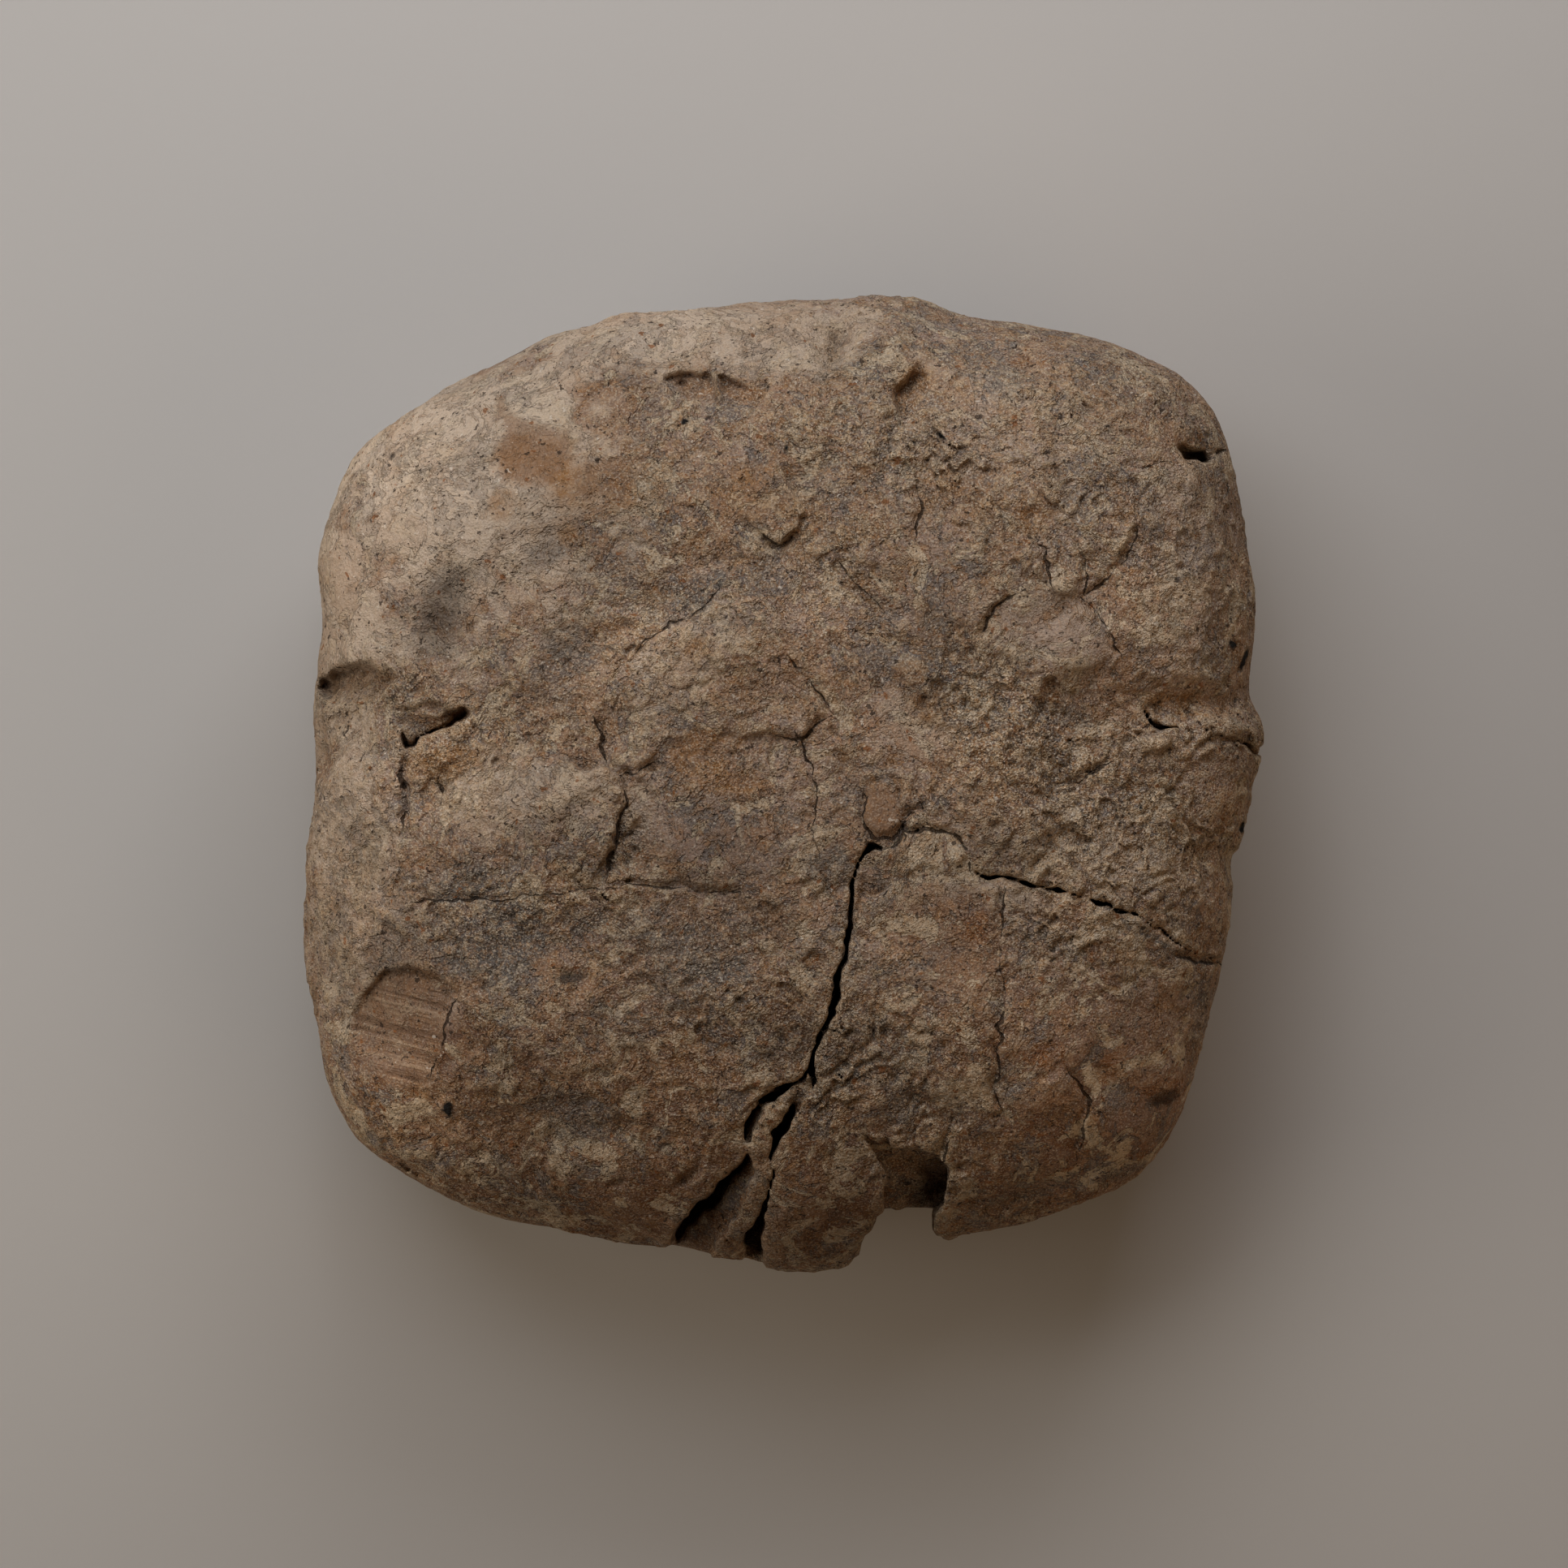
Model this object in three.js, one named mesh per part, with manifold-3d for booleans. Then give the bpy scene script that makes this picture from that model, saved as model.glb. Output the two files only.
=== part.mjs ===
// A square, pillow-shaped clay tablet, worn and cracked, lying on its back.
// Millimetres. +X to the tablet's right, +Y to its upper edge, +Z out of the worn face.
// The origin is under the middle of the tablet, on the flat it rests on.
import * as THREE from "three";
import { mergeVertices } from "three/addons/utils/BufferGeometryUtils.js";
import Module from "manifold-3d";

const wasm = await Module();
wasm.setup();

// ---------- driving dimensions ----------

const WIDTH = 59.15; // across X
const HEIGHT = 60.2; // along Y
const FACE_RISE = 13.6; // from the widest level up to the crown of the worn face
const BACK_DROP = 12.5; // from the widest level down to the crown of the back
const REST_CUT = 0.4; // the back's crown is worn away this far, which leaves a flat
const LEVEL = BACK_DROP - REST_CUT; // height of the widest level above the rest

const PLAN_POWER = 3.3; // how flat the faces are before they turn down
const RISE_POWER = 2.15; // how round the rim is
const EDGE_SHARE = 0.9; // where the face's grid gives way to the rim's, as a share of the reach

const FACE_STEPS = 34; // cells across each face
const RIM_STEPS = 8; // cells over the rim, face to back

// The rim's reach from the middle, [bearing in degrees from +X, millimetres].
const RIM = [
  [0, 29.1], [6, 29.75], [11, 29.25], [20, 31.2], [30, 33.0], [38, 34.8], [45, 35.4],
  [52, 34.5], [61, 32.6], [71, 30.9], [78, 30.7], [85, 29.9], [95, 29.75], [102, 30.05],
  [108, 30.55], [120, 31.4], [132, 32.3], [142, 33.25], [150, 32.6], [160, 30.5],
  [171, 29.7], [182, 29.4], [193, 30.4], [207, 32.3], [219, 34.2], [228, 33.4],
  [240, 31.8], [252, 30.35], [262, 29.95], [273, 30.15], [283, 29.8], [292, 30.4],
  [302, 31.7], [311, 32.75], [320, 31.95], [331, 30.25], [342, 29.45], [350, 28.55], [355, 28.9],
];

// Soft swellings (+) and dents (-) of the face: [x, y, half length, half width, turn in degrees, rise].
const SWELLS = [
  [-17.0, 18.5, 9.0, 6.0, 30, 0.45], // upper left shoulder
  [-13.5, -1.6, 4.2, 3.2, 0, 0.6], // folded lobe, left of the middle
  [-25.0, -3.0, 3.0, 4.5, 0, 0.4], // lobe on the left edge
  [-20.9, 9.8, 1.7, 3.0, -12, -0.9], // finger dent
  [-7.0, 11.5, 6.0, 1.9, 38, -0.6], // valley along the slanting crack
  [-4.0, 7.6, 5.5, 3.4, 38, 0.5], // ridge below that valley
  [-3.5, 14.8, 3.6, 2.8, 0, 0.3], // lobe above the valley
  [5.6, 0.6, 4.2, 3.0, 20, -0.5], // sunken ground above the main crack
  [12.6, 5.2, 3.4, 3.0, 30, -0.6], // crumbled hollow
  [16.4, 8.8, 4.0, 2.8, 0, 0.4], // smooth disc
  [17.9, 4.0, 2.6, 2.3, 0, -0.7], // dent below the disc
  [3.9, 26.3, 1.2, 3.4, -28, -0.7], // groove over the upper edge
  [7.9, 24.0, 1.1, 1.7, -20, -0.7], // pit below the groove
  [14.0, -14.0, 8.5, 6.5, 20, 0.45], // lower right block
  [1.6, -25.5, 3.0, 3.6, 0, 0.5], // small block at the lower edge
  [-11.0, -14.5, 8.5, 3.6, 12, 0.55], // lower left swelling
  [-16.0, -21.0, 7.5, 2.0, 8, -0.5], // band worn down below it
  [24.4, 5.0, 2.6, 1.0, -8, -0.8], // channel above the right fissure
];

// Open cracks: stations of [x, y, width], then how deep the crack runs and how wide its floor is, as a share.
const CRACKS = {
  main: {
    depth: 8, floor: 0.3,
    run: [
      [5.35, -2.6, 0.3], [4.65, -5.0, 0.5], [4.25, -6.8, 0.5], [4.3, -8.3, 0.55], [3.9, -10.5, 0.6],
      [3.2, -12.6, 0.7], [2.55, -15.2, 0.75], [2.0, -17.1, 0.95], [1.2, -18.5, 1.2], [0.4, -20.4, 0.9],
      [-0.45, -22.0, 0.7], [-0.8, -23.0, 0.3],
    ],
  },
  lowerSeam: {
    depth: 5, floor: 0.3,
    run: [[-1.0, -25.6, 0.3], [-1.5, -27.2, 0.6], [-1.8, -28.7, 0.9], [-1.9, -31.5, 0.9]],
  },
  leftFork: {
    depth: 4.5, floor: 0.4,
    run: [[1.2, -18.1, 0.4], [-0.6, -19.3, 0.8], [-1.4, -20.4, 1.1], [-1.8, -21.6, 1.1], [-1.9, -23.0, 0.6]],
  },
  lowerGap: {
    depth: 6.5, floor: 0.35,
    run: [[-1.8, -22.9, 0.5], [-3.0, -24.3, 1.7], [-4.3, -25.7, 2.1], [-5.2, -26.9, 2.0], [-6.0, -28.6, 1.3],
      [-6.9, -31.5, 1.0]],
  },
  right: {
    depth: 7, floor: 0.3,
    run: [
      [5.6, -3.9, 0.4], [7.3, -3.3, 0.6], [8.8, -2.9, 0.35], [10.0, -3.5, 0.35], [11.3, -5.2, 0.35],
      [13.5, -5.9, 0.55], [15.4, -6.3, 0.5], [17.3, -6.7, 0.45], [18.8, -7.1, 0.35], [20.4, -7.9, 0.4],
      [22.0, -8.5, 0.45], [23.9, -9.8, 0.45], [26.1, -11.1, 0.35], [27.4, -11.4, 0.4], [31.0, -11.9, 0.6],
    ],
  },
  across: {
    depth: 1.6, floor: 0.2,
    run: [[-22.4, -7.0, 0.15], [-20.2, -7.05, 0.3], [-17.1, -7.05, 0.25], [-13.0, -6.5, 0.3], [-9.0, -6.05, 0.4],
      [-7.2, -6.2, 0.4], [-5.1, -6.5, 0.3], [-1.0, -6.4, 0.15]],
  },
  rightFissure: {
    depth: 4, floor: 0.3,
    run: [[21.7, 4.5, 0.3], [22.5, 3.8, 0.8], [23.3, 3.4, 0.6], [24.3, 3.25, 0.35], [26.1, 3.1, 0.3],
      [27.6, 2.7, 0.4], [28.9, 2.2, 0.6], [31.0, 1.9, 1.0]],
  },
  gashLower: {
    depth: 2.4, floor: 0.4,
    run: [[-23.5, 2.2, 0.4], [-22.2, 2.7, 0.6], [-21.0, 3.3, 0.8], [-20.0, 3.9, 0.9], [-19.2, 4.3, 0.5]],
  },
  gashUpper: {
    depth: 1.4, floor: 0.4,
    run: [[-23.4, 4.4, 0.2], [-22.2, 4.35, 0.6], [-21.2, 4.35, 0.8], [-20.1, 3.95, 0.6]],
  },
  gashTail: {
    depth: 1.2, floor: 0.3,
    run: [[-23.3, 2.0, 0.3], [-23.1, 0.2, 0.35], [-22.95, -1.0, 0.45], [-23.2, -3.2, 0.15]],
  },
  upperSlot: {
    depth: 1.3, floor: 0.75,
    run: [[-6.3, 24.1, 0.7], [-4.9, 24.3, 1.5], [-2.9, 24.25, 1.4], [-1.2, 24.0, 0.6]],
  },
  cornerHole: {
    depth: 2.6, floor: 0.6,
    run: [[24.0, 20.85, 0.4], [24.6, 20.6, 0.9], [25.6, 20.55, 0.9], [26.1, 20.5, 0.4]],
  },
};

// Scooped hollows with a crisp upper edge: [x, y, half length, half width, turn in degrees, depth].
const SCOOPS = [
  [-25.4, 5.7, 2.9, 1.35, 17, 1.2], // beside the gash
  [28.3, -5.2, 0.9, 1.2, 0, 0.7], // nick on the right edge
  [28.6, 5.3, 1.5, 0.8, 0, 0.8], // nick above the right fissure
];

// The broken-out notch at the lower edge: its plan, then its floor as [y, z above the widest level].
const NOTCH_PLAN = [
  [4.9, -21.6], [6.0, -22.4], [6.3, -24.6], [6.0, -26.6], [5.4, -28.2], [4.6, -29.5], [4.1, -33.0],
  [11.0, -33.0], [9.95, -28.6], [9.15, -26.6], [9.8, -24.6], [10.2, -22.2], [8.6, -21.3],
];
const NOTCH_FLOOR = [[-21.0, 11.2], [-22.2, 8.6], [-24.4, 6.2], [-26.2, 2.5], [-26.9, -14.5]];

// The scraped facet: [x, y], its half sides, its turn, how its plane tips, and how deep its upper edge is.
const FACET = { x: -23.1, y: -14.9, half: [3.0, 3.1], turn: -17, tipAcross: -0.36, tipAlong: 0.26, sink: 0.75 };

// ---------- the pillow ----------

const radians = THREE.MathUtils.degToRad;

// Reach of the rim at a bearing: a smooth closed curve through RIM.
function rimReach(bearing) {
  const turn = ((bearing % 360) + 360) % 360;
  const n = RIM.length;
  let i = n - 1;
  while (i > 0 && RIM[i][0] > turn) i -= 1;
  const at = (k) => {
    const lap = Math.floor(k / n);
    const [b, r] = RIM[k - lap * n];
    return [b + 360 * lap, r];
  };
  const [b0, r0] = at(i - 1);
  const [b1, r1] = at(i);
  const [b2, r2] = at(i + 1);
  const [b3, r3] = at(i + 2);
  const span = b2 - b1;
  const s = (turn - b1) / span;
  const slope1 = ((r2 - r0) / (b2 - b0)) * span;
  const slope2 = ((r3 - r1) / (b3 - b1)) * span;
  const s2 = s * s;
  const s3 = s2 * s;
  return (2 * s3 - 3 * s2 + 1) * r1 + (s3 - 2 * s2 + s) * slope1 + (3 * s2 - 2 * s3) * r2 + (s3 - s2) * slope2;
}

const bearingOf = (x, y) => THREE.MathUtils.radToDeg(Math.atan2(y, x));

// 0 at the middle, 1 on the rim.
const share = (x, y) => Math.hypot(x, y) / rimReach(bearingOf(x, y));

// Height of a crown over the widest level, as a share of its rise.
const crown = (s) => Math.pow(Math.max(0, 1 - Math.pow(s, PLAN_POWER)), 1 / RISE_POWER);

// Sum of the soft swellings at a point.
function swelling(x, y) {
  let sum = 0;
  for (const [cx, cy, long, wide, turn, rise] of SWELLS) {
    const c = Math.cos(radians(turn));
    const s = Math.sin(radians(turn));
    const along = ((x - cx) * c + (y - cy) * s) / long;
    const across = ((y - cy) * c - (x - cx) * s) / wide;
    sum += rise * Math.exp(-(along * along + across * across));
  }
  return sum;
}

// Height of the face above the rest. Beyond the rim it stays at the widest level.
function faceHeight(x, y) {
  const s = share(x, y);
  return LEVEL + (s < 1 ? FACE_RISE * crown(s) + swelling(x, y) * Math.min(1, 6 * (1 - s)) : 0);
}

// A box whose grid is carried onto the pillow: its top and bottom become the face and the back, its sides the rim.
function pillowGeometry() {
  const box = new THREE.BoxGeometry(2, 2, 2, FACE_STEPS, FACE_STEPS, RIM_STEPS);
  const position = box.getAttribute("position");
  const edgeTurn = Math.acos(Math.pow(EDGE_SHARE, PLAN_POWER / 2));
  for (let i = 0; i < position.count; i += 1) {
    const bx = position.getX(i);
    const by = position.getY(i);
    const bz = position.getZ(i);
    const ring = Math.max(Math.abs(bx), Math.abs(by));
    const bearing = bearingOf(bx, by);
    let s = EDGE_SHARE * ring;
    if (Math.abs(bz) < 1 - 1e-6) s = Math.pow(Math.cos(edgeTurn * bz), 2 / PLAN_POWER);
    const reach = s * rimReach(bearing);
    const x = reach * Math.cos(radians(bearing));
    const y = reach * Math.sin(radians(bearing));
    const z = bz > 0 ? faceHeight(x, y) : LEVEL - BACK_DROP * crown(s);
    position.setXYZ(i, x, y, Math.abs(bz) < 1e-6 ? LEVEL : z);
  }
  return box;
}

// ---------- tools that cut ----------

// A closed geometry as a manifold-3d solid.
function solid(geometry) {
  const bare = new THREE.BufferGeometry().setAttribute("position", geometry.getAttribute("position").clone());
  bare.setIndex(geometry.index ? geometry.index.clone() : null);
  const merged = mergeVertices(bare, 1e-4);
  return new wasm.Manifold(
    new wasm.Mesh({
      numProp: 3,
      vertProperties: new Float32Array(merged.getAttribute("position").array),
      triVerts: new Uint32Array(merged.index.array),
    }),
  );
}

// The wedge of air in a crack: a four-cornered section carried from station to station, closed at both ends.
function crackGeometry({ run, depth, floor }) {
  const RISE = 2.5; // how far the wedge stands out of the clay
  const TIP_DEPTH = 0.4; // a crack that ends inside the tablet runs out, so its tips are this much shallower
  const corners = [];
  run.forEach(([x, y, width], i) => {
    const [ax, ay] = run[Math.max(0, i - 1)];
    const [bx, by] = run[Math.min(run.length - 1, i + 1)];
    const length = Math.hypot(bx - ax, by - ay);
    const nx = -(by - ay) / length;
    const ny = (bx - ax) / length;
    const isTip = i === 0 || i === run.length - 1;
    const deep = isTip && share(x, y) < 1 ? depth * TIP_DEPTH : depth;
    const top = faceHeight(x, y) + RISE;
    const bottom = faceHeight(x, y) - deep;
    const low = (width * floor) / 2;
    const high = width / 2 + ((width / 2 - low) / deep) * RISE;
    for (const [side, half, z] of [[1, high, top], [-1, high, top], [-1, low, bottom], [1, low, bottom]]) {
      corners.push(x + side * half * nx, y + side * half * ny, z);
    }
  });
  const faces = [0, 2, 1, 0, 3, 2];
  for (let i = 0; i < run.length - 1; i += 1) {
    for (let k = 0; k < 4; k += 1) {
      const a = 4 * i + k;
      const b = 4 * i + ((k + 1) % 4);
      faces.push(a, b, a + 4, b, b + 4, a + 4);
    }
  }
  const last = 4 * (run.length - 1);
  faces.push(last, last + 1, last + 2, last, last + 2, last + 3);
  const geometry = new THREE.BufferGeometry();
  geometry.setAttribute("position", new THREE.Float32BufferAttribute(corners, 3));
  geometry.setIndex(faces);
  return geometry;
}

// An egg-shaped tool that leaves a hollow of the stated size and depth.
function scoopGeometry([x, y, long, wide, turn, depth]) {
  const SINK = 0.5; // the egg's middle stands this share of its height above the surface
  const egg = new THREE.SphereGeometry(1, 14, 10);
  const tall = depth / (1 - SINK);
  const spread = 1 / Math.sqrt(1 - SINK * SINK);
  egg.scale(long * spread, wide * spread, tall);
  egg.rotateZ(radians(turn));
  egg.translate(x, y, faceHeight(x, y) + SINK * tall);
  return egg;
}

// The notch's air: its plan carried straight down, kept only above its sloping floor.
function notchSolid() {
  const plan = new THREE.ExtrudeGeometry(new THREE.Shape(NOTCH_PLAN.map(([x, y]) => new THREE.Vector2(x, y))), {
    depth: LEVEL + FACE_RISE + 6,
    bevelEnabled: false,
  });
  plan.translate(0, 0, -3);
  const [firstY] = NOTCH_FLOOR[0];
  const [, lastZ] = NOTCH_FLOOR[NOTCH_FLOOR.length - 1];
  const profile = [[firstY, FACE_RISE + 3], ...NOTCH_FLOOR, [-34, lastZ], [-34, FACE_RISE + 3]];
  const side = new THREE.ExtrudeGeometry(new THREE.Shape(profile.map(([y, z]) => new THREE.Vector2(y, z))), {
    depth: 20,
    bevelEnabled: false,
  });
  // The profile is drawn in Y and Z and carried along X.
  side.applyMatrix4(new THREE.Matrix4().set(0, 0, 1, 0, 1, 0, 0, 0, 0, 1, 0, LEVEL, 0, 0, 0, 1));
  return solid(plan).intersect(solid(side));
}

// A slab whose lower side is the facet's plane.
function facetGeometry({ x, y, half, turn, tipAcross, tipAlong, sink }) {
  const THICK = 4;
  const slab = new THREE.BoxGeometry(2 * half[0], 2 * half[1], THICK);
  slab.translate(0, 0, THICK / 2);
  slab.rotateX(tipAlong);
  slab.rotateY(tipAcross);
  slab.rotateZ(radians(turn));
  slab.translate(x, y, faceHeight(x, y) - sink);
  return slab;
}

// ---------- the tablet ----------

// The pillow with every crack, hollow, notch and facet taken out, then cut flat below.
function tabletGeometry() {
  let clay = solid(pillowGeometry());
  for (const crack of Object.values(CRACKS)) clay = clay.subtract(solid(crackGeometry(crack)));
  for (const scoop of SCOOPS) clay = clay.subtract(solid(scoopGeometry(scoop)));
  clay = clay.subtract(notchSolid());
  clay = clay.subtract(solid(facetGeometry(FACET)));
  const ground = new THREE.BoxGeometry(2 * WIDTH, 2 * HEIGHT, 10);
  ground.translate(0, 0, -5);
  clay = clay.subtract(solid(ground));

  const mesh = clay.getMesh();
  const geometry = new THREE.BufferGeometry();
  geometry.setAttribute("position", new THREE.BufferAttribute(new Float32Array(mesh.vertProperties), 3));
  geometry.setIndex(new THREE.BufferAttribute(new Uint32Array(mesh.triVerts), 1));
  geometry.computeBoundingBox();
  const { min, max } = geometry.boundingBox;
  geometry.scale(WIDTH / (max.x - min.x), HEIGHT / (max.y - min.y), 1);
  geometry.computeBoundingBox();
  const middle = geometry.boundingBox.getCenter(new THREE.Vector3());
  geometry.translate(-middle.x, -middle.y, -geometry.boundingBox.min.z);
  geometry.computeVertexNormals();
  return geometry;
}

const clayMaterial = new THREE.MeshStandardMaterial({ color: 0x9c8168, roughness: 0.93, metalness: 0 });

const tablet = new THREE.Mesh(tabletGeometry(), clayMaterial);
tablet.name = "tablet";

const part = new THREE.Group();
part.add(tablet);

export default part;
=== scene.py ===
# %% [markdown]
# # A worn clay tablet
# The real object is one lump of river clay, patted into a square pillow about 60 mm across, dried, and then buried
# for a very long time. Its upper face is scuffed, flaked and cracked. This lesson dresses a plain solid of it that
# the frame brings in. The solid is right in outline, but a solid of flat facets can't carry crumbs and flakes, so one
# new piece takes its place, made to the same measures.

import bpy
import numpy as np
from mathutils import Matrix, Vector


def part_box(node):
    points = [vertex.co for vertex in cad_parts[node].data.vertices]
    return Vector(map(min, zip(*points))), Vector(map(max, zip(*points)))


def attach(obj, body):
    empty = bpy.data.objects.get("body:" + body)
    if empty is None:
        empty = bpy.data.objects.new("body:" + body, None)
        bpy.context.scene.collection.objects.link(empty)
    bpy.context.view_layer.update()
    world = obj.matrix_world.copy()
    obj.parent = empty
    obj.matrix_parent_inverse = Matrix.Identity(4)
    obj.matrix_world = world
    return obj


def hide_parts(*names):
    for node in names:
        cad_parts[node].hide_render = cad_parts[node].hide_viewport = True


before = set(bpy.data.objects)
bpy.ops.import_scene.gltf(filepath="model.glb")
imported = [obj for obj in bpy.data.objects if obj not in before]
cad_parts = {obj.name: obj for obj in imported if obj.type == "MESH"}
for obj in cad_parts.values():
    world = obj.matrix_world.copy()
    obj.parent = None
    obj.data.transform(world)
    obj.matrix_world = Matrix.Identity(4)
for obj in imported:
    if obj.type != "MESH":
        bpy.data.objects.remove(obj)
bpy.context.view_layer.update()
low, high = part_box("tablet")
MM = 0.001

width, height, thick = [(b - a) / MM for a, b in zip(low, high)]
middle = [(a + b) / 2 / MM for a, b in zip(low, high)]
print(f"frame: {width:.2f} x {height:.2f} x {thick:.2f} mm, middle at {middle[0]:.2f}, {middle[1]:.2f}")

# %% [markdown]
# ## The camera
# The tablet lies on its back and is seen from straight above. A long lens far away keeps the rim upright and shows
# no perspective, as a copy stand does. The frame is 96.6 mm wide at the tablet's widest level.

# %% Camera
LEVEL = 12.1  # height of the widest level above the floor, mm
VIEW_WIDTH = 96.6
LENS_DISTANCE = 600.0

camera_data = bpy.data.cameras.new("copy_stand_camera")
camera_data.sensor_width = 36.0
camera_data.lens = 36.0 * LENS_DISTANCE / VIEW_WIDTH
camera_data.clip_start = 0.01
camera_data.clip_end = 10.0
camera = bpy.data.objects.new("copy_stand_camera", camera_data)
camera.location = (middle[0] * MM, middle[1] * MM, (LEVEL + LENS_DISTANCE) * MM)
bpy.context.scene.collection.objects.link(camera)
bpy.context.scene.camera = camera
print(f"lens {camera_data.lens:.1f} mm at {LENS_DISTANCE:.0f} mm")

# %% [markdown]
# ## How the clay is built
# A height map would do for the face, but not for the rim, the open notch and the deep cracks, whose walls stand
# upright. So the lump is described as a field: one number for every point of a fine grid, which is the distance to
# the skin, negative inside the clay. Dents, flakes and cracks are sums and maximums of such fields, all whole arrays.
# At the end a skin is drawn where the field passes zero.
#
# ## The pillow
# The plain lump has a closed curve for its plan and a rounded section: from the middle to the rim the face stays
# nearly flat and then turns down steeply.

# %% The pillow's measures
FACE_RISE = 13.6  # from the widest level up to the face's crown
BACK_DROP = 12.5  # from the widest level down to the back's crown
PLAN_POWER = 3.3  # how flat the faces are before they turn down
RISE_POWER = 2.15  # how round the rim is

# The rim's reach from the middle: bearing in degrees from +X, millimetres.
RIM = np.array([
    [0, 29.1], [6, 29.75], [11, 29.25], [20, 31.2], [30, 33.0], [38, 34.8], [45, 35.4], [52, 34.5], [61, 32.6],
    [71, 30.9], [78, 30.7], [85, 29.9], [95, 29.75], [102, 30.05], [108, 30.55], [120, 31.4], [132, 32.3],
    [142, 33.25], [150, 32.6], [160, 30.5], [171, 29.7], [182, 29.4], [193, 30.4], [207, 32.3], [219, 34.2],
    [228, 33.4], [240, 31.8], [252, 30.35], [262, 29.95], [273, 30.15], [283, 29.8], [292, 30.4], [302, 31.7],
    [311, 32.75], [320, 31.95], [331, 30.25], [342, 29.45], [350, 28.55], [355, 28.9],
])


def rim_reach(bearing):
    """Reach at a bearing: a smooth closed curve (cubic, with each knot's slope taken from its two neighbours)."""
    knots = np.concatenate([RIM[-2:] - [360, 0], RIM, RIM[:3] + [360, 0]])
    b, r = knots.T
    i = np.clip(np.searchsorted(b, bearing % 360, side="right") - 1, 1, len(b) - 3)
    span = b[i + 1] - b[i]
    s = (bearing % 360 - b[i]) / span
    slope_1 = (r[i + 1] - r[i - 1]) / (b[i + 1] - b[i - 1]) * span
    slope_2 = (r[i + 2] - r[i]) / (b[i + 2] - b[i]) * span
    return (
        (2 * s**3 - 3 * s**2 + 1) * r[i] + (s**3 - 2 * s**2 + s) * slope_1
        + (3 * s**2 - 2 * s**3) * r[i + 1] + (s**3 - s**2) * slope_2
    )


def rim_share(x, y):
    """0 at the middle and 1 on the rim."""
    return np.hypot(x, y) / rim_reach(np.degrees(np.arctan2(y, x)))


# %% The grid
CELL = 0.16  # across the face, mm
CELL_UP = 0.26  # in height, mm
BESIDE, UNDER, OVER = 0.9, 1.0, 1.4  # empty grid round the solid's box, mm

gx = np.arange(-width / 2 - BESIDE, width / 2 + BESIDE, CELL, dtype=np.float32)
gy = np.arange(-height / 2 - BESIDE, height / 2 + BESIDE, CELL, dtype=np.float32)
gz = np.arange(-UNDER, thick + OVER, CELL_UP, dtype=np.float32)
plan_x, plan_y = np.meshgrid(gx, gy, indexing="ij")
print(f"grid: {len(gx)} x {len(gy)} x {len(gz)} = {len(gx) * len(gy) * len(gz) / 1e6:.1f} million points")


def pillow_field():
    """Distance to the plain lump, in mm: (share^p + (height / rise)^q - 1) divided by the length of its own slope."""
    plan = rim_share(plan_x, plan_y) ** PLAN_POWER
    slope_x, slope_y = np.gradient(plan, CELL)
    rise = np.where(gz > LEVEL, FACE_RISE, BACK_DROP)
    tall = np.abs(gz - LEVEL) / rise
    slope_z = RISE_POWER * tall ** (RISE_POWER - 1) / rise
    field = plan[:, :, None].astype(np.float32) + (tall**RISE_POWER - 1)[None, None, :].astype(np.float32)
    field /= np.sqrt((slope_x**2 + slope_y**2)[:, :, None] + (slope_z**2)[None, None, :] + 1e-4).astype(np.float32)
    return field.astype(np.float32)


field = pillow_field()
print(f"pillow: {(field < 0).sum() * CELL**2 * CELL_UP / 1000:.1f} cm3")

# %% [markdown]
# ## Random ground
# Clay has no pattern, but it has sizes: lumps from the fingers, crumbs, and a grain of about 0.2 mm. Each size is
# smooth random ground, made from random numbers on a lattice of that spacing. Adding several, each finer and lower
# than the last, gives ground that looks worn rather than wavy.

# %% Random ground
LATTICE = 64  # random numbers a side, before they repeat (a power of two)
TURN = np.array([[0.36, 0.48, -0.8], [-0.8, 0.6, 0.0], [0.48, 0.64, 0.6]], dtype=np.float32)
START = 37.3  # shifts the lattice, so that none of its points falls on the tablet's middle


def ground(x, y, z, size, seed):
    """Random ground from -1 to 1: random numbers on a turned lattice, blended by 3t^2 - 2t^3 between eight."""
    table = np.random.default_rng(seed).uniform(-1, 1, LATTICE**3).astype(np.float32)
    where, blend = [], []
    for row in TURN:
        p = (row[0] * x + row[1] * y + row[2] * z) / np.float32(size) + np.float32(START + seed)
        base = np.floor(p)
        t = p - base
        where.append(base.astype(np.int32))
        blend.append(t * t * (3 - 2 * t))
    total = 0
    for i in (0, 1):
        for j in (0, 1):
            for k in (0, 1):
                a, b, c = (w + step & LATTICE - 1 for w, step in zip(where, (i, j, k)))
                index = (a * LATTICE + b) * LATTICE + c
                share = (blend[0] if i else 1 - blend[0]) * (blend[1] if j else 1 - blend[1])
                total = total + table[index] * share * (blend[2] if k else 1 - blend[2])
    return total


def smooth_step(low_edge, high_edge, value):
    """0 below the low edge, 1 above the high one, and 3t^2 - 2t^3 between."""
    t = np.clip((value - low_edge) / (high_edge - low_edge), 0, 1)
    return t * t * (3 - 2 * t)


def layered(x, y, z, layers):
    """Sum of height * ground over layers, each a height, a size in mm and a seed."""
    total = 0
    for tall, size, seed in layers:
        total = total + tall * ground(x, y, z, size, seed)
    return total


def torn(x, y):
    """The same places moved by random ground of 1.6, 0.55 and 0.28 mm, so that any line drawn there looks torn."""
    move = [layered(x, y, 0, [[0.3, 1.6, s], [0.17, 0.55, s + 1], [0.07, 0.28, s + 2]]) for s in (1, 5)]
    return x + move[0], y + move[1]


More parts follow.
